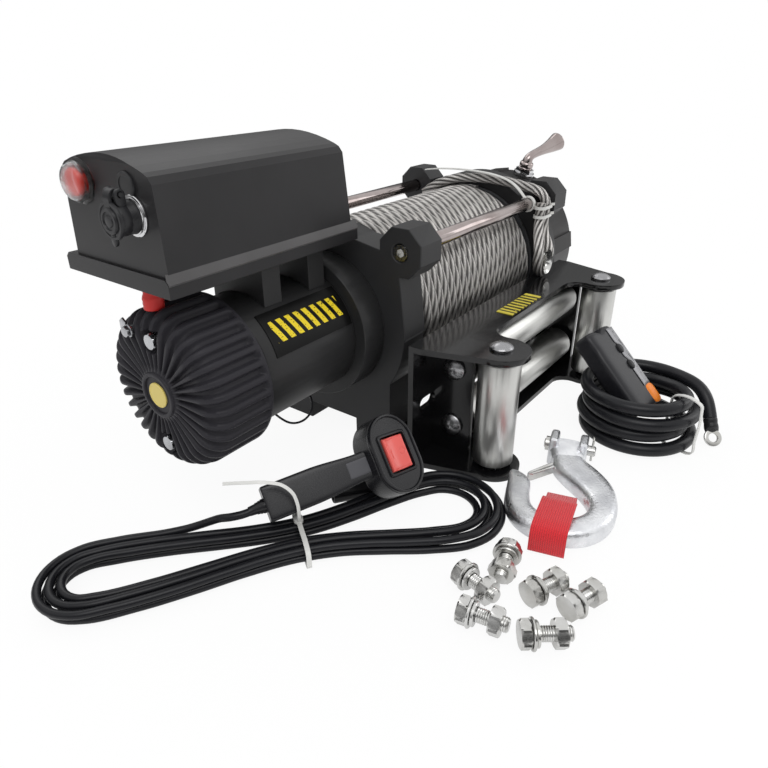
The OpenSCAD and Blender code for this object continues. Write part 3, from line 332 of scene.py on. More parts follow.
@dataclass(frozen=True)
class Strand:
    """Wires of a laid rope, on a piece whose map is metres along and turns round.

    Fields: name, the colour of the wires, and the dark colour between them, which stands for grease together with
    painted shade in the grooves.
    """
    name: str
    colour: Colour
    grease_and_shade: Colour

    def material(self) -> bpy.types.Material:
        """Fine wires that cross the strands at a slant, dull in the grooves, with painted shade darkening the colour
        between the strands and between the wires.
        """
        p = Palette(self.name)
        u, v = p.along()
        strand = (v * (TURN * 6.0) + TURN / 4).wave()
        wires = (v * (TURN * 30.0) + u * (TURN * 330.0)).wave()
        cloud = p.noise(90.0, 4.0)
        # painted shade: the colour falls towards the grease colour in the grooves between strands and between wires
        groove_shade = (0.16 + 0.94 * strand) * (0.62 + 0.38 * wires) * (0.8 + 0.4 * cloud)
        p.set(Base_Color=p.mixed(groove_shade.held(), self.grease_and_shade, self.colour), Metallic=0.9,
              Roughness=(0.30 + 0.20 * cloud - 0.08 * strand).held())
        p.bump(wires, 0.25)
        return p.material


@dataclass(frozen=True)
class Webbing:
    """Woven tape, on a piece whose map is metres along and across."""
    name: str
    colour: Colour

    def material(self) -> bpy.types.Material:
        """Rows of small slanted stitches, with painted shade making them darker between the yarns."""
        p = Palette(self.name)
        u, v = p.along()
        rows = (v * (TURN * 640.0)).wave()
        herring = ((v * 320.0).part() - 0.5).size() * 3.0
        yarn = ((u * 520.0 + herring) * TURN).wave()
        weave = rows * 0.55 + yarn * 0.45
        # painted shade: the colour drops to this darker copy between the yarns and rows
        dark = tuple(c * 0.55 for c in self.colour)
        fuzz = p.noise(900.0)
        p.set(Base_Color=p.mixed((weave * 1.1 + 0.3 * (fuzz - 0.5)).held(), dark, self.colour), Roughness=0.82)
        p.set(Sheen_Weight=0.35, Sheen_Roughness=0.5)
        p.bump(weave, 0.35)
        return p.material


@dataclass(frozen=True)
class BarPlate:
    """A dark plate with a row of slanted bars, on Object coordinates.

    Fields: name, ground, bar colour, first and last place along X, height limits and pitch, all in mm.
    """
    name: str
    ground: Colour
    bar: Colour
    x0: float
    x1: float
    z0: float
    z1: float
    pitch: float

    def material(self) -> bpy.types.Material:
        """Bars where the slanted coordinate falls in the first half of each step, within a frame."""
        p = Palette(self.name)
        x, _, z = p.axes(p.place())
        slant = ((x * 1000.0 + z * 450.0) * (1.0 / self.pitch)).part() < 0.55
        inside = (x > self.x0 * MM) * (x < self.x1 * MM) * (z > self.z0 * MM) * (z < self.z1 * MM)
        worn = p.noise(700.0, 3.0) > 0.36
        p.set(Base_Color=p.mixed(slant * inside * worn, self.ground, self.bar),
              Roughness=(0.22 + 0.2 * p.noise(80.0)).held(), Specular_IOR_Level=0.12)
        return p.material


class Finish(Enum):
    """Every finish on the winch and its kit, made once each."""
    SATIN_BLACK = Paint("satin_black", (0.0190, 0.0190, 0.0196), 0.40, gleam=0.28)
    BLACK_SUPPORT = Paint("black_support", (0.0210, 0.0210, 0.0220), 0.44, 1.6, 0.05, gleam=0.28)
    GLOSS_BLACK = Paint("gloss_black", (0.0050, 0.0050, 0.0055), 0.14, 3.0, 0.02, 0.22, 0.34)
    HOUSING = Paint("housing_paint", (0.0105, 0.0095, 0.0095), 0.34, 1.6, 0.04, gleam=0.16)
    CAP_BLACK = Paint("cap_black", (0.0240, 0.0230, 0.0275), 0.42, 0.9, 0.04, gleam=0.14)
    DRUM_PAINT = Paint("drum_paint", (0.05, 0.052, 0.055), 0.35)
    # Its dark, brownish colour is a painted reflection of the dark, red-brown surroundings that the polished rods
    # mirror.
    ROD = Bright("rod_painted_reflection", (0.42, 0.37, 0.36), 0.10, 0.06, 0.004, 5.0, (0.28, 0.23, 0.22))
    BOLT = Bright("grey_bolt", (0.50, 0.51, 0.53), 0.28, 0.16, 0.05, 1.6, (0.30, 0.30, 0.31))
    # The ledge's colour is several times lighter than the cover's as a painted highlight, for light caught on its
    # upward face.
    LEDGE = Moulded("ledge_painted_highlight", (0.075, 0.073, 0.074), 0.45, 0.8, 0.05, 0.0, 0.2)
    CHROME = Bright("chrome", (0.66, 0.66, 0.67), 0.08, 0.05, 0.003, 6.0)
    ROLLER = Bright("roller_chrome", (0.62, 0.62, 0.60), 0.33, 0.08, 0.004, 4.0)
    ZINC = Bright("bright_zinc", (0.66, 0.66, 0.65), 0.22, 0.14, 0.04, 1.2, (0.42, 0.41, 0.38))
    FORGED = Bright("hot_dip_zinc", (0.86, 0.87, 0.89), 0.34, 0.24, 0.36, 2.0, (0.46, 0.47, 0.50))
    STEEL = Bright("machined_steel", (0.45, 0.45, 0.46), 0.3)
    BRASS = Bright("brass", (0.62, 0.44, 0.20), 0.28)
    WINDING = Moulded("varnished_winding", (0.20, 0.06, 0.025), 0.4)
    FRICTION = Moulded("friction_lining", (0.09, 0.07, 0.05), 0.8, 0.5, 0.1)
    COVER = Moulded("cover_plastic", (0.0130, 0.0125, 0.0135), 0.42, 0.6, 0.05, 0.0, 0.30)
    PLASTIC = Moulded("black_plastic", (0.0125, 0.0125, 0.0140), 0.34, 0.5, 0.04, 0.0, 0.30)
    HANDSET = Moulded("handset_plastic", (0.0075, 0.0075, 0.0092), 0.27, 0.6, 0.02, 0.0, 0.38)
    REMOTE = Moulded("remote_plastic", (0.0135, 0.0135, 0.0165), 0.34, 0.6, 0.03, 0.0, 0.34)
    GREY_PATCH = Moulded("grey_plastic", (0.060, 0.060, 0.068), 0.36, 0.5, 0.03)
    RED = Moulded("red_plastic", (0.66, 0.045, 0.03), 0.22, 2.0, 0.01)
    ROCKER = Moulded("rocker_plastic", (0.68, 0.10, 0.085), 0.20, 1.2, 0.02, 0.0, 0.5)
    BOOT_RED = Moulded("red_rubber", (0.50, 0.018, 0.015), 0.45)
    ORANGE = Moulded("orange_plastic", (0.80, 0.22, 0.02), 0.35)
    CABLE = Moulded("cable_jacket", (0.0085, 0.0088, 0.0110), 0.30, 1.4, 0.02, 0.0, 0.26)
    NYLON = Moulded("white_nylon", (0.62, 0.62, 0.60), 0.35, 0.8, 0.02)
    CLEAR = Clear("clear_boot")
    # The rope's second colour is grease together with painted shade in its grooves.
    ROPE = Strand("wire_rope", (0.76, 0.735, 0.71), (0.010, 0.009, 0.009))
    TAPE = Webbing("red_webbing", (0.86, 0.018, 0.030))
    GREY_STRIP = Bright("grey_strip", (0.27, 0.27, 0.28), 0.42, 0.1, 0.02, 0.8)
    PIN_STEEL = Bright("pin_steel", (0.34, 0.34, 0.35), 0.28, 0.12, 0.03, 2.0)
    YELLOW = Paint("yellow_plate", (0.62, 0.50, 0.14), 0.35)
    LABEL = BarPlate("label_plate", (0.0045, 0.0045, 0.0045), (0.80, 0.62, 0.03), -246.0, -174.0, 137.0, 150.5, 9.0)
    PLATE_BARS = BarPlate("plate_bars", (0.66, 0.56, 0.08), (0.02, 0.018, 0.01), -36.0, 17.0, 0.0, 500.0, 7.0)

    def material(self) -> bpy.types.Material:
        """This finish's material, made once."""
        made = bpy.data.materials.get(self.value.name + "_finish")
        return made or self.value.material()


# Shapes

def unit(v: Array) -> Array:
    """Each row divided by its own length."""
    return v / np.linalg.norm(v, axis=-1, keepdims=True)


def xyz(x: Array | float, y: Array | float, z: Array | float) -> Array:
    """Points from their three parts, each a number or an array, spread to one shape."""
    return np.stack(np.broadcast_arrays(x, y, z), -1)


def ring_angles(n: int, shift: float = 0.0) -> Array:
    """Angles of n even steps round a circle, the first one shift steps on."""
    return (np.arange(n) + shift) * TURN / n


def soft_box(n: int, power: float, shift: float = 0.0) -> tuple[Array, Array]:
    """Cosine and sine of n angles, each raised to a power with its sign kept: a box with soft corners."""
    a = ring_angles(n, shift)
    return tuple(np.sign(f) * np.abs(f) ** power for f in (np.cos(a), np.sin(a)))


def sheet(u: tuple[float, float, int], v: tuple[float, float, int]) -> list[Array]:
    """Two grids of even steps, each from its first value, its last value and its count."""
    return np.meshgrid(np.linspace(*u), np.linspace(*v), indexing="ij")


def soft_edge(u: Array, v: Array, power: float) -> Array:
    """1 in the middle of a sheet that runs from -1 to 1, falling to 0 close to its edge."""
    return np.clip(1 - np.maximum(np.abs(u) ** power, np.abs(v) ** power), 0, 1)


def directions(path: Array) -> Array:
    """Unit tangents: the difference of a point's two neighbours, made one long."""
    return unit(np.gradient(path, axis=0))


def stations(path: Array) -> Array:
    """Distance walked along a path at each of its points."""
    return np.concatenate([[0.0], np.cumsum(np.linalg.norm(np.diff(path, axis=0), axis=1))])


def rings(path: Array, start: Sequence[float], angles: Array) -> Array:
    """Directions across a path, on frames that don't twist.

    The start vector has its part along the tangent taken away at each station in turn, so it is carried from
    one station to the next. A direction is cos(angle) of it plus sin(angle) of the tangent crossed with it.

    Args:
        path: stations, n by 3.
        start: a vector roughly across the path.
        angles: one row for all stations, or a row for each.

    Returns:
        Directions, stations by angles by 3.
    """
    t = directions(path)
    n = np.empty_like(t)
    v = np.asarray(start, float)
    for i, tangent in enumerate(t):
        v = v - tangent * float(v @ tangent)
        v = v / np.linalg.norm(v)
        n[i] = v
    return np.cos(angles)[..., None] * n[:, None] + np.sin(angles)[..., None] * np.cross(t, n)[:, None]


def smooth_path(points: Sequence[Sequence[float]], step: float, floor: float | None = None) -> Array:
    """A curve through points, with stations about step apart.

    Each span is a cubic whose end slopes are half the difference of the neighbouring points over their
    distance, so that the curve passes through every point without a corner.

    Args:
        points: the points, in order.
        step: the distance between stations.
        floor: the least height, if there is one.

    Returns:
        Stations, n by 3.
    """
    p = np.asarray(points, float)
    knots = stations(p)
    slopes = np.gradient(p, knots, axis=0)
    s = np.linspace(0.0, knots[-1], max(4, int(knots[-1] / step) + 1))
    i = np.clip(np.searchsorted(knots, s, side="right") - 1, 0, len(p) - 2)
    h = (knots[i + 1] - knots[i])[:, None]
    x = ((s - knots[i])[:, None]) / h
    line = ((1 + 2 * x) * (1 - x) ** 2 * p[i] + x * (1 - x) ** 2 * h * slopes[i]
            + x * x * (3 - 2 * x) * p[i + 1] + x * x * (x - 1) * h * slopes[i + 1])
    if floor is not None:
        line[:, 2] = np.maximum(line[:, 2], floor)
    return line


def turned(points: Sequence | Array, axis: str, degrees: float) -> Array:
    """Points turned about an axis through the origin by the right-hand rule."""
    c, s = math.cos(math.radians(degrees)), math.sin(math.radians(degrees))
    m = {"x": [[1, 0, 0], [0, c, -s], [0, s, c]],
         "y": [[c, 0, s], [0, 1, 0], [-s, 0, c]],
         "z": [[c, -s, 0], [s, c, 0], [0, 0, 1]]}[axis]
    return np.asarray(points, float) @ np.array(m, float).T


def linked(name: str, data: bpy.types.ID) -> bpy.types.Object:
    """A new object of that name in the scene, which holds the data."""
    made = bpy.data.objects.new(name, data)
    bpy.context.collection.objects.link(made)
    return made


@dataclass
class Piece:
    """A mesh in the making, in mm: its points, its faces and its map."""
    name: str
    points: list[Array] = field(default_factory=list)
    faces: list[Array] = field(default_factory=list)
    maps: list[Array] = field(default_factory=list)
    total: int = 0

    def grid(self, points: Array, wrap: bool = True, ends: str = "both", loop: bool = False,
             uv: tuple[Array, Array] | None = None, flip: bool = False) -> "Piece":
        """Adds a surface over a grid of points.

        Neighbouring points make a four sided face. Open ends are closed by a fan to the middle of the end row.

        Args:
            points: the grid, rows by columns by 3.
            wrap: whether each row closes on itself.
            ends: which ends to close: both, first, last or none.
            loop: whether the last row joins the first.
            uv: map values, along by row and round by column.
            flip: turns the faces over.

        Returns:
            This piece, for more.
        """
        rows, cols = points.shape[:2]
        flat = points.reshape(-1, 3)
        r, c = np.meshgrid(np.arange(rows if loop else rows - 1), np.arange(cols if wrap else cols - 1), indexing="ij")
        r1, c1 = (r + 1) % rows, (c + 1) % cols
        quads = np.stack([r * cols + c, r * cols + c1, r1 * cols + c1, r1 * cols + c], -1).reshape(-1, 4)
        along, around = uv if uv is not None else (np.arange(rows) * 0.01, np.arange(cols) / cols)
        a0, a1 = along[r], along[r] + np.where(r1 == 0, along[1] - along[0], along[r1] - along[r])
        b0, b1 = around[c], around[c] + (around[1] - around[0])
        pairs = ((a0, b0), (a0, b1), (a1, b1), (a1, b0))
        corner = np.stack([np.stack(pair, -1) for pair in pairs], 2).reshape(-1, 4, 2)
        if flip:
            quads, corner = quads[:, ::-1], corner[:, ::-1]
        base = self.total
        self.points.append(flat)
        self.faces.append(quads + base)
        self.maps.append(corner)
        self.total += len(flat)
        for end, row in (("first", 0), ("last", rows - 1)):
            if loop or not wrap or ends not in ("both", end):
                continue
            ring = base + row * cols + np.arange(cols)
            tri = np.stack([ring, np.roll(ring, -1), np.full(cols, self.total)], -1)
            self.points.append(points[row].mean(axis=0)[None])
            self.faces.append(tri[:, ::-1] if (row > 0) == flip else tri)
            self.maps.append(np.tile(np.array([along[row], 0.5]), (cols, 3, 1)))
            self.total += 1
        return self

    def tube(self, path: Array, radius: float | Array, sides: int = 16, start: Sequence[float] = (0, 0, 1),
             lay: float = math.inf) -> "Piece":
        """A bar or rope along a path: path + radius times the directions across it.

        Args:
            path: stations.
            radius: one radius, a column with one for each station, or a row with one for each side.
            sides: points round it.
            start: a vector across the path.
            lay: mm along the path in which the section turns once.

        Returns:
            This piece.
        """
        s, a = stations(path), ring_angles(sides)
        ring = rings(path, start, a[None] + (TURN * s / lay)[:, None])
        return self.grid(path[:, None] + np.asarray(radius, float)[..., None] * ring, uv=(s * MM, a / TURN))

    def ribbon(self, path: Array, across: Sequence[float] | Array, width: float, thick: float) -> "Piece":
        """A flat band: two faces of nine points across, and edges cut off by a quarter of its thickness.

        Args:
            path: stations.
            across: the direction of its width.
            width: mm across.
            thick: mm thick.

        Returns:
            This piece.
        """
        t = directions(path)
        w = np.broadcast_to(np.asarray(across, float), path.shape)
        w = unit(w - t * (w * t).sum(-1, keepdims=True))
        e = min(thick, width) * 0.25
        k, side, low = np.linspace(-0.5, 0.5, 9) * (width - e), width / 2, -thick / 2
        x = np.concatenate([[-side], k, [side, side], k[::-1], [-side]])
        cut = low + e / 2
        z = np.concatenate([[cut], np.full(9, low), [cut, -cut], np.full(9, -low), [-cut]])
        points = path[:, None] + x[None, :, None] * w[:, None] + z[None, :, None] * np.cross(t, w)[:, None]
        self.grid(points, uv=(stations(path) * MM, np.zeros(len(x))), flip=True)
        edge = np.append(x, x[0]) * MM
        c = np.tile(np.arange(len(x)), len(path) - 1)
        self.maps[-3][:, :, 1] = np.stack([edge[c], edge[c + 1], edge[c + 1], edge[c]], -1)[:, ::-1]
        return self

    def lathe(self, profile: Sequence[Sequence[float]], place: Callable[[Array], Array], sides: int = 48,
              loop: bool = False, ripple: Callable[[Array, Array], Array] | None = None) -> "Piece":
        """A turned shape: each profile point (radius, height) goes round the local z axis.

        Args:
            profile: radius and height, in order from bottom to top on the outside.
            place: moves local points to where they belong.
            sides: points round it.
            loop: whether the profile closes on itself, as a ring's does.
            ripple: gives the radius factor from angle and profile place.

        Returns:
            This piece.
        """
        prof = np.asarray(profile, float)
        a = ring_angles(sides)
        r = prof[:, :1]
        if ripple is not None:
            r = r * ripple(a[None, :], np.arange(len(prof))[:, None])
        return self.grid(place(xyz(r * np.cos(a), r * np.sin(a), prof[:, 1:])), loop=loop,
                         uv=(0.002 * np.arange(1, len(prof) + 1), a / TURN))

    def finished(self, finish: Finish, body: str, *stands_for: str, angle: float = 35.0,
                 slot: str | None = None) -> bpy.types.Object:
        """Makes the object, dresses it, hangs it on its body and logs it.

        Args:
            finish: its finish.
            body: the body that it rides on.
            stands_for: CAD nodes that it replaces.
            angle: degrees past which an edge stays sharp.
            slot: a material slot for a piece that replaces no node; not used.

        Returns:
            The object.
        """
        points = np.concatenate(self.points) * MM
        mesh = bpy.data.meshes.new(self.name)
        mesh.from_pydata(points.tolist(), [], [row.tolist() for block in self.faces for row in block])
        uv = mesh.uv_layers.new(name="UVMap")
        uv.data.foreach_set("uv", np.concatenate([m.reshape(-1, 2) for m in self.maps]).ravel().astype(np.float32))
        mesh.shade_smooth()
        mesh.set_sharp_from_angle(angle=math.radians(angle))
        mesh.materials.append(finish.material())
        made = linked(self.name, mesh)
        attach(made, body)
        if stands_for:
            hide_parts(*stands_for)
        log.info("%s: %d points", self.name, len(points))
        return made


def dress(finish: Finish, *nodes: str, edge_mm: float = 0.0) -> None:
    """Gives CAD nodes a finish, and softens their edges for the light to catch.

    Args:
        finish: the finish.
        nodes: CAD node names.
        edge_mm: width of the softened edge, 0 for none.
    """
    for name in nodes:
        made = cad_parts[name]
        made.data.materials.clear()
        made.data.materials.append(finish.material())
        if edge_mm:
            made.modifiers.new("weld", "WELD").merge_threshold = WELD_M
            bevel = made.modifiers.new("edge", "BEVEL")
            bevel.width = edge_mm * MM
            bevel.segments = 2
            bevel.limit_method = "ANGLE"
            bevel.angle_limit = math.radians(EDGE_DEGREES)
            bevel.use_clamp_overlap = bevel.harden_normals = True
        log.info("%s: %s", name, finish.name)


# Studio

@dataclass
class Studio:
    """Pale floor, soft light and the camera. Camera place in mm, angles in degrees, the rest in metres.

    A lamp is a name, a place, two sizes and a power in watts.
    """
    camera_at: Point = (-538.68, -361.50, 322.77)
    azimuth: float = -53.033
    elevation: float = 27.384
    roll: float = -0.334
    focal_px: float = 637.65
    frame_px: int = 768
    sensor_mm: float = 36.0
    floor_half: float = 40.0
    floor_z: float = -0.0004
    band_r: float = 2.4
    band_h: float = 1.5
    lamps: tuple = (("key", (-0.9, -0.7, 1.5), (1.1, 0.8), 7.0), ("rim", (0.4, 1.2, 1.6), (1.4, 0.7), 4.0),
                    ("side", (1.4, -1.2, 0.9), (0.7, 1.0), 3.0))

    def camera(self) -> None:
        """Sets the camera from its place, its two angles and its roll."""
        a, e, r = (math.radians(v) for v in (self.azimuth, self.elevation, self.roll))
        back = np.array([math.sin(a) * math.cos(e), -math.cos(a) * math.cos(e), math.sin(e)])
        right = np.array([math.cos(a), math.sin(a), 0.0])
        up = np.cross(back, right)
        made = bpy.data.cameras.new("camera")
        made.sensor_width = self.sensor_mm
        made.lens = self.focal_px / self.frame_px * self.sensor_mm
        made.clip_start = 0.01
        m = np.eye(4)
        m[:3, 0] = math.cos(r) * right + math.sin(r) * up
        m[:3, 1] = -math.sin(r) * right + math.cos(r) * up
        m[:3, 2], m[:3, 3] = back, np.array(self.camera_at) * MM
        seat = linked("camera", made)
        seat.matrix_world = Matrix(m.tolist())
        bpy.context.scene.camera = seat

    def floor(self) -> None:
        """A wide pale floor just under the feet, white where nothing shades it."""
        p = Palette("floor_white")
        p.set(Base_Color=(0.97, 0.97, 0.97), Roughness=0.9, Specular_IOR_Level=0.05)
        seen, gloss, through = p.rays("Camera", "Glossy", "Transmission")
        x, y, _ = p.axes(p.place())
        far = ((x * x + y * y) * 1.1 - 0.35).held()
        mix = p.node("ShaderNodeMixShader")
        p.feed(mix.inputs[0], seen.most(gloss * 0.45).most(through) * (0.92 + 0.08 * far))
        p.feed(mix.inputs[1], p.shader.outputs[0])
        p.feed(mix.inputs[2], p.node("ShaderNodeEmission", Color=(1.0, 1.0, 1.0), Strength=1.0).outputs[0])
        p.feed(p.out.inputs[0], mix.outputs[0])
        mesh = bpy.data.meshes.new("floor")
        s, z = self.floor_half, self.floor_z
        mesh.from_pydata([(-s, -s, z), (s, -s, z), (s, s, z), (-s, s, z)], [], [(0, 1, 2, 3)])
        mesh.materials.append(p.material)
        linked("floor", mesh)

    def world(self) -> None:
        """An even white surround that cameras and polished metal see, a little dimmer for matt surfaces."""
        world = bpy.data.worlds.new("surround")
        bpy.context.scene.world = world
        nodes = Nodes(world)
        seen, through, gloss = nodes.rays("Camera", "Transmission", "Glossy")
        level = (0.84 + 0.16 * seen.most(through).most(gloss)).held()
        back = nodes.node("ShaderNodeBackground", Color=(1.0, 1.0, 1.0), Strength=level)
        nodes.feed(nodes.node("ShaderNodeOutputWorld").inputs[0], back.outputs[0])

    def light(self) -> None:
        """The soft boxes, each turned to a point just over the floor's middle."""
        middle = Vector((0.0, 0.0, 0.1))
        for name, at, size, watts in self.lamps:
            light = bpy.data.lights.new(name, "AREA")
            light.shape = "RECTANGLE"
            light.size, light.size_y = size
            light.energy = watts
            made = linked(name, light)
            made.location = at
            made.rotation_euler = (middle - Vector(at)).to_track_quat("-Z", "Y").to_euler()

    def surround(self) -> None:
        """A dark band round the horizon that only polished surfaces see, as the walls of a room show in chrome.

        Points are (r cos a, r sin a, z); it pales towards its top and towards two bright sides.
        """
        p = Palette("room_band")
        x, y, z = p.axes(p.place())
        right = ((x * 0.26 - y * 0.33) - 0.42).held() * 2.2
        left = ((y * 0.14 - x * 0.40) - 0.62).held() * 1.6
        up = (z * 0.9 - 0.35).held()
        shade = (0.03 + 0.55 * up + right.held() * 0.85 + left.held() * 0.5).held()
        glow = p.node("ShaderNodeEmission", Strength=1.0, Color=p.mixed(shade, (0.0, 0.0, 0.0), (1.0, 1.0, 1.0)))
        p.feed(p.out.inputs[0], glow.outputs[0])
        a, k = ring_angles(96), np.arange(96)
        low = xyz(self.band_r * np.cos(a), self.band_r * np.sin(a), 0.002)
        mesh = bpy.data.meshes.new("room_band")
        mesh.from_pydata(np.concatenate([low, low + [0, 0, self.band_h]]).tolist(), [],
                         np.stack([k, (k + 1) % 96, (k + 1) % 96 + 96, k + 96], -1).tolist())
        mesh.materials.append(p.material)
        made = linked("room_band", mesh)
        made.visible_camera = made.visible_diffuse = made.visible_shadow = made.visible_transmission = False

    def build(self) -> None:
        """Camera, floor, surround, lamps and the band in the reflections."""
        self.camera()
        self.floor()
        self.world()
        bpy.context.scene.view_settings.view_transform = "Standard"
        self.light()
        self.surround()
        log.info("studio set")


# Forms that several pieces share

def strand_outline(radius: float, sides: int) -> Array:
    """Radii round a rope of six strands.

    The strands are circles of 0.36 radius centred at 0.64 radius. Towards a direction that is d off the
    nearest one's middle, the outline is at 0.64 r cos d + the root of (0.36 r)^2 - (0.64 r sin d)^2.

    Args:
        radius: of the rope.
        sides: points round it.

    Returns:
        The radii.
    """
    step = np.pi / 3
    d = (ring_angles(sides) + step / 2) % step - step / 2
    centre, strand = 0.64 * radius, 0.36 * radius
    return centre * np.cos(d) + np.sqrt(np.maximum(strand * strand - (centre * np.sin(d)) ** 2, 0.0))


def rounded(outline: Array, thick: float, edge: float, hole: Array | None = None) -> Array:
    """Rows of a flat plate with softened edges.

    The outline is repeated at six heights, drawn towards its middle by the edge width on the first and last.
    A hole's outline, if any, joins the two ends, so that the rows close on themselves.

    Args:
        outline: closed outline in the plane, n by 2.
        thick: mm.
        edge: mm of softened edge.
        hole: an outline of as many points inside it.

    Returns:
        Rows by n by 3, with the thickness along z.
    """
    away = unit(outline - outline.mean(axis=0)) * edge
    inner, shoulder = outline - away, outline - away * 0.3
    rows = [(inner, 0.0), (shoulder, edge * 0.3), (outline, edge), (outline, thick - edge),
            (shoulder, thick - edge * 0.3), (inner, thick)]
    if hole is not None:
        wide = hole + unit(hole - hole.mean(axis=0)) * edge
        rows = [(hole, edge), (wide, 0.0), *rows, (wide, thick), (hole, thick - edge)]
    return np.stack([xyz(xy[:, 0], xy[:, 1], z) for xy, z in rows])


def circle_line(radius: float, n: int, centre: Sequence[float] = (0, 0)) -> Array:
    """A circle of n points: centre + radius (cos, sin)."""
    a = ring_angles(n)
    return np.stack([centre[0] + radius * np.cos(a), centre[1] + radius * np.sin(a)], -1)


def hexagon(piece: Piece, place: Callable[[Array], Array], flats: float, low: float, high: float,
            dish: bool = True) -> None:
    """A hexagon head or nut: rows of the lesser of the hexagon's radius and a cone that cuts the corners off.

    The hexagon's radius is half the width over the cosine of the angle from the nearest flat's middle.

    Args:
        piece: the mesh to add to.
        place: moves local points to where they belong.
        flats: mm across flats.
        low: foot height.
        high: top height.
        dish: whether the underside has cut corners too.
    """
    a, half = ring_angles(72), flats / 2
    corner = half / math.cos(math.pi / 6)
    rows = [(half * 0.94, low), (half, low), (corner, low + 1.1)] if dish else [(corner, low)]
    rows += [(corner, high - 1.1), (half, high - 0.15), (half * 0.9, high)]
    limit, height = np.array(rows).T[:, :, None]
    r = np.minimum(half / np.cos((a + np.pi / 6) % (np.pi / 3) - np.pi / 6), limit)
    piece.grid(place(xyz(r * np.cos(a), r * np.sin(a), height)))


def contacts(piece: Piece, place: Callable[[Array], Array], profile: Sequence[Sequence[float]], reach: float,
             first: float) -> None:
    """Four pins on a circle.

    Args:
        piece: the mesh to add to.
        place: moves local points to where they belong.
        profile: one pin's radius and height.
        reach: the circle's radius.
        first: angle of the first pin, in radians.
    """
    for k in range(4):
        a = k * math.pi / 2 + first
        piece.lathe(profile, lambda p, a=a: place(p + [reach * math.cos(a), reach * math.sin(a), 0]), 12)


# The winch and its kit

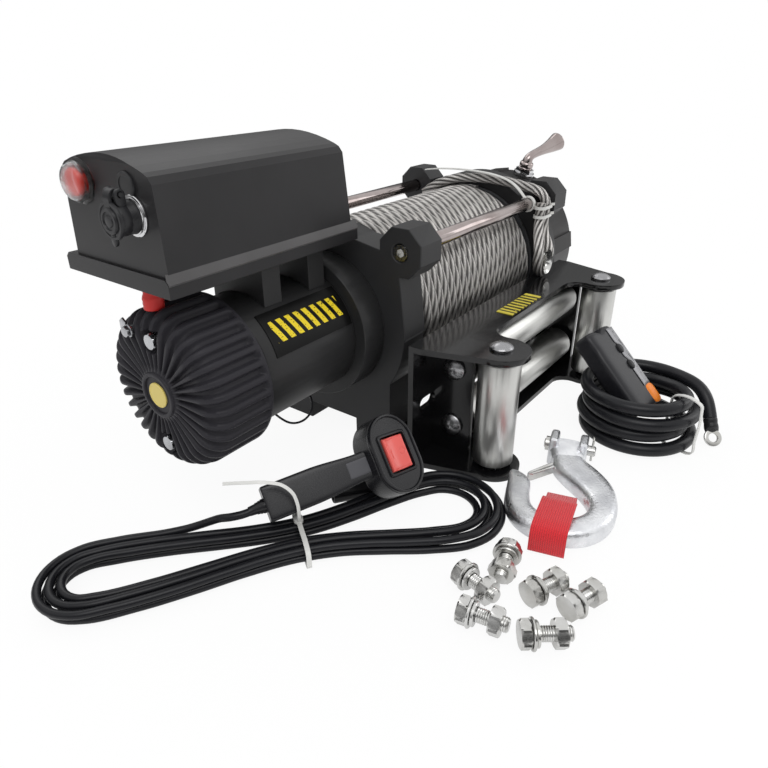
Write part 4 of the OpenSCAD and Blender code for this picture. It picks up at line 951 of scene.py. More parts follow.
@dataclass
class WireRope:
    """The winding on the drum, the tail over the tie rod, its eye and its ties.

    Fields, in mm: the rope's diameter and lay, turns on the drum, radius of the inner layers, radius and half
    length of the winding, height of the drum's axis, points of the tail and of the strap on it, middle of the
    eye, and the heights of the two bands.
    """
    diameter: float = 10.0
    lay: float = 78.0
    turns: float = 19.0
    core: float = 72.0
    winding_r: float = 77.0
    half_room: float = 105.3
    axis_z: float = 112.0
    tail: Rows = (
        (98, 56.8, 179.7), (98, 51, 184.2), (98.6, 30.2, 195.1), (99, 12, 200), (99.5, -8, 202), (100, -30, 202.4),
        (100.4, -52, 200.6), (100.8, -68, 198.3), (101, -79, 196.6), (101.5, -86.5, 192.6), (101.9, -90.6, 186),
        (102, -91.4, 177), (101.8, -91.2, 168), (100.5, -92.5, 158), (98, -96.5, 150), (95.5, -101.5, 143),
        (93.5, -104, 137), (92.3, -104, 131), (91.6, -104, 126), (88.5, -104, 121), (84, -104, 118.9),
        (79, -104, 118.6), (74, -104, 120), (70, -104, 123.6), (68, -104, 128.5), (67, -104, 134),
        (67.6, -103.8, 140), (70.5, -101.8, 147), (76, -98, 154), (83, -94.2, 161), (89.2, -91.6, 168),
        (90.2, -91.2, 176), (90.5, -91.2, 186))
    strap: Rows = (
        (107.6, 62, 203.5), (106.6, 45, 206), (104, 30, 207.6), (100, 8, 209), (96, -14, 209.4), (92, -38, 207.8),
        (87, -58, 203.4), (82, -70, 197.5), (80, -77.5, 191.2))
    eye_at: Point = (79.8, -104.0, 128.5)
    band_z: Pair = (172.5, 181.5)

    def around(self, angle: Array, radius: float | Array, x: float | Array) -> Array:
        """Points about the drum axis: (x, -radius sin(angle), axis height + radius cos(angle)), from the top on."""
        return xyz(x, -radius * np.sin(angle), self.axis_z + radius * np.cos(angle))

    def winding(self) -> None:
        """The outer layer: x rises evenly with the angle, one pitch a turn, over a dark core of inner layers."""
        pitch = (2 * self.half_room - self.diameter) / self.turns
        a = np.linspace(0.0, self.turns * TURN, int(self.turns * 118) + 1)
        path = self.around(a, self.winding_r, -(self.turns * pitch) / 2 + a / TURN * pitch)
        back = np.array([[0, self.diameter, 0], [0, self.diameter / 2, 0]])
        path = np.concatenate([path[0] + back, path, path[-1] - back[::-1]])
        piece = Piece("rope_layer").tube(path, strand_outline(self.diameter / 2 + 0.25, 30), 30, lay=self.lay)
        piece.finished(Finish.ROPE, "drum_spool", "rope_winding")
        t, turn = np.linspace(-self.half_room, self.half_room, 60), ring_angles(96)
        groove = self.core + 0.5 * np.cos(TURN * t / pitch)
        under = Piece("rope_inner_layers").grid(self.around(turn[None], groove[:, None], t[:, None]), flip=True,
                                                uv=(t * MM, turn / TURN))
        under.finished(Finish.ROPE, "drum_spool", "rope_winding")

    def free_end(self, thimble: bpy.types.Object) -> None:
        """The tail: up off the drum, over the tie rod, down, round the eye and back up beside itself.

        Args:
            thimble: the piece in its eye; not used.
        """
        path = smooth_path(self.tail, 2.2)
        piece = Piece("rope_end").tube(path, strand_outline(self.diameter / 2, 36), 36, (1, 0, 0), self.lay)
        made = piece.finished(Finish.ROPE, "winch", "rope_tail")

    def eye(self) -> bpy.types.Object:
        """The thimble in the eye: a drop shaped channel. Its line is a circle drawn out to a point upwards.

        Returns:
            The thimble.
        """
        a = ring_angles(72)
        out = xyz(np.sin(a), 0.0, np.cos(a))
        line = 9.2 * out * xyz(1.0, 0.0, 1 + 0.42 * np.maximum(np.cos(a), 0.0) ** 3) + self.eye_at
        k = np.linspace(-1, 1, 15)
        bed = 3.8 * np.abs(k) ** 2.2
        depth = np.concatenate([bed - 2.2, bed[::-1] - 3.4])
        side = np.concatenate([k * 6.2, k[::-1] * 5.6])
        grid = line[:, None] + depth[None, :, None] * out[:, None] + side[None, :, None] * np.array([0, 1.0, 0])
        return Piece("eye_thimble").grid(grid, loop=True, flip=True).finished(Finish.ZINC, "winch", "thimble")

    def ties(self) -> None:
        """Two nylon bands round the doubled rope, a band on the tie rod and the strap that runs from it."""
        piece = Piece("rope_bands")
        k = ring_angles(64)
        c, s = np.cos(k), np.sin(k)
        e = np.array([[-0.45, -1.5], [0.55, -1.5], [0.55, 1.5], [-0.45, 1.5]])
        for z in self.band_z:
            line = xyz(96.1 + 6.4 * np.sign(c) * np.minimum(1, np.abs(c) * 3) + 6.1 * c, -91.3 + 6.1 * s, z)
            section = e[None, :, :1] * xyz(c, s, 0.0)[:, None] + e[None, :, 1:] * np.array([0, 0, 1.0])
            piece.grid(line[:, None] + section, loop=True)
            tip = np.array([[103.6, -92.0, z], [106.5, -94.5, z + 1], [108.4, -98.5, z + 1.4]])
            piece.ribbon(tip, (0, 0, 1), 2.6, 1.0)
        band = [(8.0, 0.0), (8.1, 2.0), (8.0, 4.0), (6.6, 4.0), (6.6, 0.0)]
        piece.lathe(band, lambda p: turned(p, "y", 90) + [86.0, -77.5, 184.0], loop=True)
        piece.ribbon(smooth_path(self.strap, 2.0), (1, 0.1, 0), 5.0, 1.1)
        piece.finished(Finish.NYLON, "winch", "rope_ties")

    def build(self) -> None:
        """All of the rope."""
        self.winding()
        self.free_end(self.eye())
        self.ties()


@dataclass
class Handset:
    """The wired handset. Its frame: x down the handle, z out of the face.

    Fields: place, three angles, half the width and length of the head, its lean, length of the handle, height
    of the rocker's pin, and rows of the head (inset, height), its window (half sizes, height) and the gland
    (radius, place along).
    """
    at: Point = (-209.0, -118.0, 48.0)
    yaw: float = 151.2
    pitch: float = 8.5
    roll: float = 50.0
    head: Pair = (21.3, 31.0)
    lean: float = 25.0
    handle_l: float = 100.0
    pin_z: float = 2.0
    head_rows: Rows = ((1.8, -12.0), (0.8, -11.8), (0.2, -11.2), (0.0, -10.2), (0.0, 7.4), (0.0, 7.6), (0.5, 7.9),
                        (0.5, 8.5), (0.0, 8.8), (0.0, 11.0), (0.4, 11.8), (1.1, 12.0), (2.0, 11.9), (2.5, 11.3),
                        (2.7, 10.6))
    well: Rows = ((14.0, 16.6, 10.6), (13.7, 16.3, 11.9), (13.2, 15.8, 12.3), (12.4, 14.5, 12.3), (12.2, 14.2, 11.8),
                   (12.1, 14.1, 1.0))
    gland: Rows = ((5.4, 99.0), (5.4, 102.0), (4.9, 102.6), (4.9, 104.2), (4.4, 104.8), (4.4, 106.4), (3.9, 107),
                    (3.4, 112))

    def place(self, points: Array) -> Array:
        """Handset points in the shared frame: rolled about x, pitched about y, then yawed about z."""
        p = turned(turned(points, "x", -self.roll), "y", self.pitch)
        return turned(p, "z", self.yaw) + self.at

    def on_head(self, points: Array) -> Array:
        """Head points in the shared frame: the head leans away from the handle about the rocker's pin."""
        pin = np.array([0.0, 0.0, self.pin_z])
        return self.place(turned(points - pin, "y", -self.lean) + pin)

    def oval(self, inset: float, z: float) -> Array:
        """One ring of the head: a circle's x, and its y moved out by the straight part of the oval."""
        half, far = self.head
        a = ring_angles(96, 0.5)
        r = half - inset
        return xyz(r * np.cos(a), r * np.sin(a) + (far - half) * np.sign(np.sin(a)), z)

    def window(self, x: float, y: float, z: float) -> Array:
        """One ring of the rocker's window: a box with soft corners."""
        c, s = soft_box(96, 0.16, 0.5)
        return xyz(x * c, y * s, z)

    def body(self) -> None:
        """Head, handle and cable end in one piece.

        The head is a stack of oval rings: back, side, raised rim, face, then the window's frame and its well.
        The handle's half width goes from 10.8 mm at the neck to 13.4 mm by a smooth step, its underside drops by
        2.7 mm, each section is a box with soft corners, and it ends in a flat cut.
        """
        piece = Piece("handset_shell")
        rows = [self.oval(*row) for row in self.head_rows] + [self.window(*row) for row in self.well]
        piece.grid(self.on_head(np.stack(rows)))
        x = np.concatenate([np.linspace(13.5, 96, 45), [98.6, 99.5, 100.0, 100.0, 100.0]])[:, None]
        shut = np.concatenate([np.ones(45), [1.0, 0.985, 0.95, 0.6, 0.3]])[:, None]
        k = np.clip((x - 24) / 40, 0, 1)
        k = k * k * (3 - 2 * k)
        top, low = 10.0 - 0.3 * (1 - k), -9.2 - 2.7 * k
        c, s = soft_box(72, 0.2)
        piece.grid(self.place(xyz(x, (10.8 + 2.6 * k) * shut * c, (top + low) / 2 + (top - low) / 2 * shut * s)))
        piece.lathe(self.gland, lambda p: self.place(xyz(p[..., 2], p[..., 1], -1 - p[..., 0])), 32)
        piece.finished(Finish.HANDSET, "winch", "handset_body", angle=42)
        u, v = sheet((-1, 1, 25), (-1, 1, 21))
        pad = xyz(27.5 + 9.0 * u, 6.6 * v, 9.3 + 0.6 * soft_edge(u, v, 16) + 0.04 * (u + 1))
        patch = Piece("handset_patch").grid(self.place(pad), wrap=False)
        patch.finished(Finish.GREY_PATCH, "winch", "handset_body")

    def rocker(self) -> None:
        """The rocker: a shallow trough whose surface dips in the middle, with rounded edges and two marks."""
        u, v = sheet((-1, 1, 61), (-1, 1, 61))
        edge = soft_edge(u, v, 18)
        bar = (np.abs(u - 0.55) < 0.05) & (np.abs(v) < 0.3)
        ring = np.abs(np.hypot((u + 0.5) * 10.4, v * 13.4) - 2.6) < 0.45
        rim_line = np.abs(np.maximum(np.abs(u) * 10.4, np.abs(v) * 13.4 - 3.0) - 9.0) < 0.35
        z = 11.0 + 1.6 * u * u * edge + 0.5 * edge - 0.35 * bar - 0.35 * ring - 0.3 * rim_line
        top = xyz(u * 10.0, v * 12.9, z)
        piece = Piece("rocker_cap").grid(self.on_head(top), wrap=False)
        rim = np.concatenate([top[:, 0], top[-1, 1:], top[-2::-1, -1], top[0, -2:0:-1]])
        skirt = np.stack([rim * [0.97, 0.97, 0] + [0, 0, 5.0], rim])
        piece.grid(self.on_head(skirt), ends="first", flip=True)
        piece.finished(Finish.ROCKER, "rocker", "handset_rocker", angle=50)

    def build(self) -> None:
        """The shell and its rocker."""
        self.body()
        self.rocker()


@dataclass
class HandsetLead:
    """The lead: from the handset's gland into a long hank on the floor, and out to its plug.

    Fields: diameter, the hank's middle and turn, for either end its place, radius and how much each loop draws
    in, the same for the waist without a place, the turns where the loops start, fold back and stop, the gap
    under them, rise of the top layer, share of a turn in half a run, and points of both free ends.
    """
    diameter: float = 6.0
    centre: Pair = (-289.0, -90.0)
    turn: float = -35.3
    left: Point = (-138.0, 34.0, 7.4)
    right: Point = (120.0, 46.0, 9.6)
    waist: Pair = (21.0, 6.9)
    start: float = 0.08
    back: float = 2.5
    stop: float = 4.87
    under: float = 1.5
    rise: float = 6.5
    run: float = 0.13
    out_of_gland: Rows = ((-42, 12, 29), (-49, 17.5, 25.5), (-56, 23.5, 20), (-63, 28, 15.3), (-72, 30.7, 12),
                           (-84.6, 31.45, 11))
    to_plug: Rows = ((119.3, 45.5, 4.5), (112, 45.5, 4.8), (104, 45, 6), (96, 44, 8), (88, 43.4, 9), (80, 43.4, 9))

    def on_floor(self, p: Sequence | Array) -> Array:
        """Points beside the hank's own middle line, turned and moved to where it lies."""
        return turned(p, "z", self.turn) + [*self.centre, 0.0]

    def hank(self, n: Array) -> Array:
        """Loops of a stadium drawn in at the waist.

        The share q of a turn walks the left half run, the left end, the two lower half runs, the right end and
        the right half run. The loops draw in on the top layer and out again on the floor layer. A run's distance
        from the middle line is the straight line between the ends, drawn in by a cosine squared.

        Args:
            n: turns walked, as an array.

        Returns:
            Points beside the middle line.
        """
        s = self.back - self.start - np.abs(n - self.back)
        q = n - np.floor(n)
        z = self.under + self.diameter / 2 + self.rise * (1 - np.clip((n - self.back + 0.25) * 2, 0, 1))
        (left, rl, dl), (right, rr, dr), (tight, dt) = self.left, self.right, self.waist
        rl, rr, tight = rl - dl * s, rr - dr * s, tight - dt * s

        def side(u: Array) -> Array:
            """Distance of a run from the middle line, at a place u along it."""
            k = (u - left) / (right - left)
            wide = rl * (1 - k) + rr * k
            return wide - (wide - tight) * np.cos(np.pi / 2 * u / np.where(u < 0, left, right)) ** 2

        r = self.run
        al, ar = (np.pi * ((q - first - r) / (0.5 - 2 * r) + 0.5 - 2 * first) for first in (0, 0.5))
        u0, u2, u3, u5 = left * q / r, left * (0.5 - q) / r, right * (q - 0.5) / r, right * (1 - q) / r
        cases = [q < r, q < 0.5 - r, q < 0.5, q < 0.5 + r, q < 1 - r, q >= 1 - r]
        x = np.select(cases, [u0, left + rl * np.cos(al), u2, u3, right + rr * np.cos(ar), u5])
        y = np.select(cases, [side(u0), rl * np.sin(al), -side(u2), -side(u3), rr * np.sin(ar), side(u5)])
        return xyz(x, y, z)

    def build(self, handset: Handset, plug: bpy.types.Object) -> bpy.types.Object:
        """One tube of one length.

        Args:
            handset: whose gland it leaves.
            plug: the piece on its far end; not used.

        Returns:
            The lead.
        """
        gland = handset.place(np.array([[handset.handle_l + far, 0, -1.0] for far in (2, 18)]))
        loops = self.on_floor(self.hank(np.linspace(self.start, self.stop, int((self.stop - self.start) * 30))))
        knots = [gland, self.on_floor(self.out_of_gland)[:-1], loops, self.on_floor(self.to_plug)[1:]]
        path = smooth_path(np.concatenate(knots), 4.0)
        piece = Piece("lead_in_hank").tube(path, self.diameter / 2 - 0.02, 16)
        made = piece.finished(Finish.CABLE, "winch", "handset_lead", "lead_hank")
        return made


@dataclass
class PowerCable:
    """The battery cable, coiled, with a ring lug on each end.

    Fields: diameter, the coil's middle, its turns, distance between neighbouring turns, outer radius, angle of
    its first point, the gap under it, and points of the free end (along, across, up).
    """
    diameter: float = 12.0
    centre: Pair = (24.0, -236.0)
    layers: int = 4
    step: float = 12.7
    radius: float = 52.0
    start: float = -22.0
    under: float = 1.5
    free: Rows = ((0.2, 0, 0), (5.6, 0, -0.45), (11.07, -0.01, -1.73), (16.27, -0.39, -3.84), (21.02, -1.23, -6.7),
                   (25.21, -2.37, -10.27), (28.74, -3.64, -14.45), (31.91, -5.05, -18.89), (34.97, -6.67, -23.32))

    def coil(self, n: Array) -> Array:
        """Turns that draw in and out by turns as they climb: radius less one step times a triangle wave.

        Args:
            n: turns walked.

        Returns:
            Points.
        """
        a = np.radians(self.start - 360.0 * n)
        wave = 1 - np.abs(1 - (n - 2 * np.floor(n / 2)))
        k = np.round(n)
        climb = np.where((k == 0) | (k == self.layers), np.floor(n), k - 1 + np.clip((n - k + 0.25) * 2, 0, 1))
        r = self.radius - self.step * wave
        z = self.under + self.diameter / 2 + self.step * np.minimum(self.layers - 1, climb)
        return xyz(self.centre[0] + r * np.cos(a), self.centre[1] + r * np.sin(a), z)

    def line(self) -> Array:
        """The cable's line from lug to lug: a straight stub, the turns, and the free end that comes down off them."""
        x, y = math.sin(math.radians(self.start)), -math.cos(math.radians(self.start))
        out = np.array([x, y, 0.0]) * self.diameter
        loops = self.coil(np.linspace(0, self.layers, self.layers * 30 + 1))
        f, g, z = np.array(self.free).T
        free = loops[-1] + out + xyz(x * f - y * g, y * f + x * g, z)
        return smooth_path(np.concatenate([[loops[0] - out], loops, free]), 4.0)

    def build(self, lugs: bpy.types.Object) -> bpy.types.Object:
        """The cable as one tube.

        Args:
            lugs: the ring lugs on its ends; not used.

        Returns:
            The cable.
        """
        path = self.line()
        piece = Piece("coiled_cable").tube(path, self.diameter / 2 - 0.02, 20)
        made = piece.finished(Finish.CABLE, "winch", "power_coil", "power_cable")
        return made


@dataclass
class MotorCap:
    """The cast cap with its fins, and what sits on it.

    Fields: where the can ends, radius, length and corner radius of the cap, depth and number of its fins, height
    of the axis, reach of the bolts, radius and depth of a bolt's pocket, x and y of the posts, each hexagon's
    place, width across flats, foot and top, and points of the earth wire.
    """
    can_x: float = -262.0
    radius: float = 60.6
    length: float = 58.0
    corner: float = 17.0
    depth: float = 4.5
    fins: int = 33
    axis_z: float = 112.0
    bolt_circle: float = 40.0
    pocket: Pair = (8.4, 10.0)
    posts_at: Rows = ((-306.0, 8.0), (-284.0, 30.0))
    hexagons: Rows = ((-310.2, 0, 152, 10.6, 1.4, 10.0), (-310.2, 0, 72, 10.6, 1.4, 10.0),
                       (-320.2, 20, 156, 7.4, 1.6, 4.4))
    earth: Rows = ((-232, -18, 62.9), (-229, -22, 58), (-223, -25, 52), (-213, -26, 47.5), (-204, -26, 47),
                    (-196, -25, 50), (-191, -22, 55), (-189, -18, 60), (-189, -15, 61.9))

    def off_end(self, p: Array, x: float, y: float, z: float) -> Array:
        """Local z out of the motor's end, from the point (x, y, z)."""
        return xyz(x - p[..., 2], y + p[..., 0], z + p[..., 1])

    def shell(self) -> None:
        """The outside of the cap.

        The section runs up the side, round a quarter circle and in over the end to the hub. It moves inwards
        by the fin depth times one less a rounded square wave of the angle, except at the rim and the hub, and
        the end dips into a pocket round each bolt.
        """
        r0, l0, c = self.radius, self.length, self.corner
        arc = np.linspace(0, np.pi / 2, 16)[1:]
        h = np.concatenate([[0, 5.9, 6.0, 6.3, 7.2, 8.6, 9.6, 10.8, 12.2], np.linspace(14, l0 - c, 12),
                            l0 - c + c * np.sin(arc), np.full(22, l0), l0 + np.array([0, 1.2, 1.5, 1.5, 1.2, 0, 0])])
        r = np.concatenate([[r0 - 9, r0 - 9, r0 - 1.4, r0 - 0.3], np.full(17, r0), r0 - c + c * np.cos(arc),
                            np.linspace(r0 - c - 1.2, 19.5, 22), [17.4, 17.0, 16.6, 14.4, 14.0, 13.8, 9.0]])
        n_side = np.concatenate([np.ones(21), np.cos(arc), np.zeros(29)])
        n_end = np.concatenate([np.zeros(21), np.sin(arc), np.ones(29)])
        share = np.concatenate([np.zeros(6), [0.35, 0.8, 1.0], np.ones(46), [0.8, 0.4, 0.1], np.zeros(7)])
        a = ring_angles(self.fins * 12)
        fin = 0.5 + 0.5 * np.tanh(2.6 * np.cos(self.fins * a - 1.5 * np.pi)) / math.tanh(2.6)
        cut = self.depth * share[:, None] * (1 - fin)
        rr = r[:, None] - cut * n_side[:, None]
        hh = h[:, None] - cut * n_end[:, None]
        y, z = rr * np.sin(a), rr * np.cos(a)
        wide, deep = self.pocket
        for side in (-1, 1):
            pocket = np.clip(wide - np.hypot(y, z - side * self.bolt_circle), 0, 1)
            hh = np.where(hh > l0 - deep + 1, hh - pocket * (hh - (l0 - deep)), hh)
        piece = Piece("finned_cap").grid(xyz(self.can_x - hh, y, self.axis_z + z))
        piece.finished(Finish.CAP_BLACK, "winch", "motor_cap", angle=50)

    def terminals(self) -> None:
        """The two terminal posts, and the red rubber boots with a ribbed skirt over them."""
        posts, boots, rim, top = Piece("terminal_posts"), Piece("terminal_boots"), self.axis_z + self.radius, 188.8
        for x, y in self.posts_at:
            posts.lathe([(3.0, 0), (3.0, 19.4), (2.4, 20)], lambda p, x=x, y=y: p + [x, y, rim - 14], 24)
            z0 = max(self.axis_z + math.sqrt(self.radius ** 2 - (y + 9) ** 2) + 0.3, rim - 15)
            skirt = ((6.8, 0), (7.1, 1), (6.9, 2.6), (7.1, 4), (6.8, 5.6), (7.1, 7.2), (6.6, 9), (5.8, 11))
            profile = [(r, z0 + h) for r, h in skirt] + [(5.7, top - 3), (5.4, top - 1), (4.4, top - 0.1)]
            boots.lathe(profile, lambda p, x=x, y=y: p + [x, y, 0.0], 40)
        posts.finished(Finish.BRASS, "winch", "motor_cap")
        boots.finished(Finish.BOOT_RED, "winch", "motor_boots")

    def bolts(self) -> None:
        """Two hexagon bolts on washers, a small hexagon head on the stud, and the end of the lug under it."""
        piece = Piece("cap_hexagons")
        for x, y, z, flats, low, high in self.hexagons:
            out = partial(self.off_end, x=x, y=y, z=z)
            hexagon(piece, out, flats, low, high, False)
            r = flats * 0.62
            washer = [(3.0, -3.0), (3.0, 0.0), (r - 0.3, 0.0), (r, 0.3), (r, 1.3), (r - 0.3, 1.6), (3.0, 1.6)]
            piece.lathe(washer, out, 40)
        flat = rounded(np.array([[-3.4, 0.0], [-3.4, 6.0], [0.0, 8.6], [3.4, 6.0], [3.4, 0.0]]), 1.6, 0.3)
        piece.grid(xyz(-319.0 - flat[..., 2], 27.0 - flat[..., 0], 155.0 + flat[..., 1]))
        piece.finished(Finish.BOLT, "winch", "cap_bolts", angle=32)

    def build(self) -> None:
        """The cap and its fittings."""
        self.shell()
        self.terminals()
        self.bolts()
        badge = [(9.4, 0.0), (9.4, 0.8), (9.0, 1.1), (8.0, 1.1), (7.8, 0.9), (0.5, 0.9)]
        hub = partial(self.off_end, x=self.can_x - self.length, y=0.0, z=self.axis_z)
        Piece("badge_disc").lathe(badge, hub).finished(Finish.YELLOW, "winch", "hub_badge")
        wire = Piece("bonding_wire").tube(smooth_path(self.earth, 1.5), 0.95, 12, (0, 1, 0))
        wire.finished(Finish.CABLE, "winch", "earth_wire")


@dataclass
class Hook:
    """The forged hook with its latch, pin, clip and pull strap, lying on the floor. Its frame: x to the eye.

    Fields: place, turn, place and height of the eye, place and turn of the latch, stations of the forging, and
    points of the strap and of its lap.
    """
    at: Pair = (-140.0, -228.0)
    turn: float = 15.5
    eye: float = 82.0
    eye_z: float = 13.0
    pivot: Pair = (54.0, 4.0)
    swing: float = 140.0
    edges: Rows = (
        (72, -15, 72, 15, 9, 9), (66, -14.4, 66, 12.6, 9, 9), (60.5, -18.4, 60, 11, 9, 9), (52, -27.6, 49, 9, 9, 9),
        (42, -35.8, 39, 2.4, 9, 9), (29.5, -42.2, 28, -8, 9, 9), (15.5, -45.2, 17.6, -17.2, 9, 9),
        (1, -45.8, 5, -24, 9, 9), (-13.4, -43.4, -6, -23.6, 9, 9), (-26, -36.8, -13.6, -19.6, 9, 9),
        (-36, -26.2, -19, -13.4, 9, 9), (-41.6, -13, -21.4, -6.4, 9, 8.8), (-42.7, 0, -21.9, 0.6, 9, 8.6),
        (-40, 13, -19.8, 7.6, 9, 8.3), (-33.4, 24.4, -15.4, 13.4, 9, 8), (-24, 32.6, -9.4, 17.2, 9, 7.6),
        (-12, 37.6, -1.6, 19.4, 9, 7.2), (0.6, 39.4, 6.4, 21, 9, 6.8), (11.6, 40.2, 14.2, 21.6, 9, 6.3),
        (21, 41, 21.4, 23.4, 9, 5.6), (27.6, 41.9, 27, 27.6, 9, 4.6), (31.8, 41.2, 30.6, 32.4, 9, 3.4),
        (34.2, 39.4, 33.4, 36.2, 9, 1.8))
    band: Rows = (
        (13, -4, 1.4), (14.4, -4, 5.4), (12, -4, 9.6), (5, -4, 13.4), (-3, -4, 16.6), (-10, -3.6, 19.0),
        (-18, -3, 20.2), (-32, -2, 20.6), (-41, -1.4, 20.2), (-46.4, -1, 18.4), (-48.4, -1, 14),
        (-48.6, -1, 8), (-48.4, -1, 1.4))
    lap: Rows = (
        (-9, -3.6, 20.6), (-11, -3.4, 21.3), (-18, -3, 22.1), (-32, -2, 22.5), (-41.6, -1.4, 22.1), (-47.6, -1, 20.2),
        (-50.2, -1, 14.6), (-50.4, -1, 8), (-50.2, -1, 3.2), (-49.8, -1, 2.2))

    def place(self, points: Sequence | Array) -> Array:
        """Hook points in the shared frame: turned about z and moved."""
        return turned(points, "z", self.turn) + [*self.at, 0.0]

    def forging(self) -> None:
        """The body: a box with soft corners spanned between an outer and an inner edge line.

        Each station gives an outer point, an inner point, a middle height and half a thickness. The section is
        the middle of the two points, plus half their distance times a softened cosine along the line between
        them, plus half the thickness times a softened sine upwards.
        """
        table = smooth_path(self.edges, 1.6)[:, None]
        out, inner, middle, half = table[..., 0:2], table[..., 2:4], table[..., 4], table[..., 5]
        u, v = soft_box(56, 2 / 3)
        flat = (out + inner) / 2 + (inner - out) / 2 * u[:, None]
        piece = Piece("forged_hook").grid(self.place(xyz(flat[..., 0], flat[..., 1], middle + half * v)))
        x = np.linspace(60, 78, 12)[:, None]
        w = np.interp(x, [60, 68, 73, 78], [12.0, 14.8, 16.2, 15.6])
        h = np.interp(x, [60, 70, 78], [8.9, 10.8, 11.6])
        piece.grid(self.place(xyz(x, w * u, h * (1 + v))))
        b = ring_angles(72)
        c, s = np.cos(b), np.sin(b)
        square = np.minimum(14.5 / np.maximum(-c, 1e-6), 13 / np.maximum(np.abs(s), 1e-6))
        reach = np.where(c < 0, square, 13.0)[:, None]
        centre = (self.eye, self.eye_z)
        rows = rounded(centre + reach * np.stack([c, s], -1), 7.0, 1.8, circle_line(4.7, 72, centre))
        for side in (-12.5, 12.5):
            piece.grid(self.place(xyz(rows[..., 0], side - 3.5 + rows[..., 2], rows[..., 1])), loop=True, flip=True)
        piece.finished(Finish.FORGED, "winch", "hook_body", angle=48)

    def latch(self) -> None:
        """The stamped latch: a barrel at its pivot and a ribbed tongue that runs to the lip."""
        u = np.linspace(0, 1, 40)[:, None]
        half = np.interp(u, [0, 0.15, 0.5, 0.9, 1.0], [3.6, 3.4, 3.0, 2.4, 0.9])
        cu, cv = soft_box(64, 2 / 4.5)
        rib = 1.0 - 0.16 * np.exp(-(cu / 0.45) ** 2) * np.interp(u, [0, 0.2, 0.8, 1], [0, 1, 1, 0])
        tongue = turned(xyz(33.0 * u, -1.5 + half * cu, 4.0 * cv * rib), "z", self.swing) + [*self.pivot, 9]
        piece = Piece("stamped_latch").grid(self.place(tongue))
        piece.lathe([(3.8, 0), (4.9, 0.6), (4.9, 7.4), (3.8, 8)], lambda q: self.place(q + [*self.pivot, 5]), 40)
        piece.finished(Finish.ZINC, "latch", "hook_latch", angle=45)

    def pin(self) -> None:
        """The clevis pin with its collar, and the spring clip through its end."""
        def along(p: Array) -> Array:
            """Local z to the hook's -y through the ears."""
            return self.place(xyz(self.eye + p[..., 0], -p[..., 2], self.eye_z + p[..., 1]))

        profile = [(3.4, -21), (4.4, -20.2), (4.4, -20), (6.4, -19.8), (6.4, -16.6), (4.5, -16.4), (4.5, 22.2),
                   (3.6, 23)]
        piece = Piece("hook_pin").lathe(profile, along, 40)
        a = np.linspace(0, 1.3 * np.pi, 24)
        straight = xyz(np.array([0.4, 0, 0]), 20.0, np.array([-10, -7, 3]))
        bow = xyz(2.8 - 2.8 * np.cos(a), 20.0, 9 + 2.8 * np.sin(a))
        clip = smooth_path(np.concatenate([straight, bow]) * [1, -1, 1] + [self.eye, 0, self.eye_z], 0.8)
        piece.tube(self.place(clip), 0.95, 14, (0, 1, 0))
        piece.finished(Finish.ZINC, "winch", "clevis_pin", angle=45)

    def strap(self) -> None:
        """The red webbing loop: down through the eye, over the bowl to the floor, with a wider sewn lap on top."""
        across = self.place([0, 1, 0]) - self.place([0, 0, 0])
        piece = Piece("pull_strap").ribbon(self.place(smooth_path(self.band, 1.4)), across, 23.0, 1.9)
        piece.ribbon(self.place(smooth_path(self.lap, 1.4)), across, 26.0, 1.7)
        piece.finished(Finish.TAPE, "winch", "hook_strap")

    def build(self) -> None:
        """Every piece of the hook."""
        self.forging()
        self.latch()
        self.pin()
        self.strap()


@dataclass
class Clutch:
    """The clutch boss, its plunger and the flared lever.

    Fields: the gearbox's middle, tilt of the clutch axis, the lever's distance from the middle, its yaw, its
    stations (a point and a radius), and its lip past the last one (distance, change of radius).
    """
    at: Point = (193.0, 0.0, 112.0)
    tilt: float = 14.0
    up: float = 84.0
    yaw: float = -11.0
    line: Rows = ((0, 0, 14, 6.5), (0, 0, 17.5, 5.8), (1, 0, 20, 5.2), (4, 0, 22.5, 4.8), (9, 0, 24.5, 4.8),
                   (16, 0, 26.5, 5), (27, 0, 29.5, 6), (38, 0, 33, 8), (49, 0, 37.5, 10.5))
    tip: Rows = ((0.7, -0.5), (1.1, -1.8), (1.2, -3.2))

    def place(self, points: Array) -> Array:
        """Points on the clutch axis, tilted to the front, in the shared frame."""
        return turned(points + [0, 0, self.up], "x", self.tilt) + self.at

    def build(self) -> None:
        """The trumpet shaped lever, and finishes for the rest."""
        table = smooth_path(self.line, 1.2)
        line, radii, tip = turned(table[:, :3], "z", self.yaw), table[:, 3], np.array(self.tip)
        line = np.concatenate([line, line[-1] + unit(line[-1] - line[-2]) * tip[:, :1]])
        radii = np.concatenate([radii, radii[-1] + tip[:, 1]])
        piece = Piece("flared_lever").tube(self.place(line), radii[:, None], 40, (0, 1, 0))
        piece.lathe([(7.2, 8.1), (8.0, 8.8), (8.0, 13.6), (7.4, 15.2), (6.2, 16), (4, 16.2)], self.place)
        piece.finished(Finish.ROD, "clutch_handle", "clutch_lever", angle=50)
        dress(Finish.CHROME, "clutch_boss", edge_mm=0.5)
        dress(Finish.STEEL, "clutch_plunger")


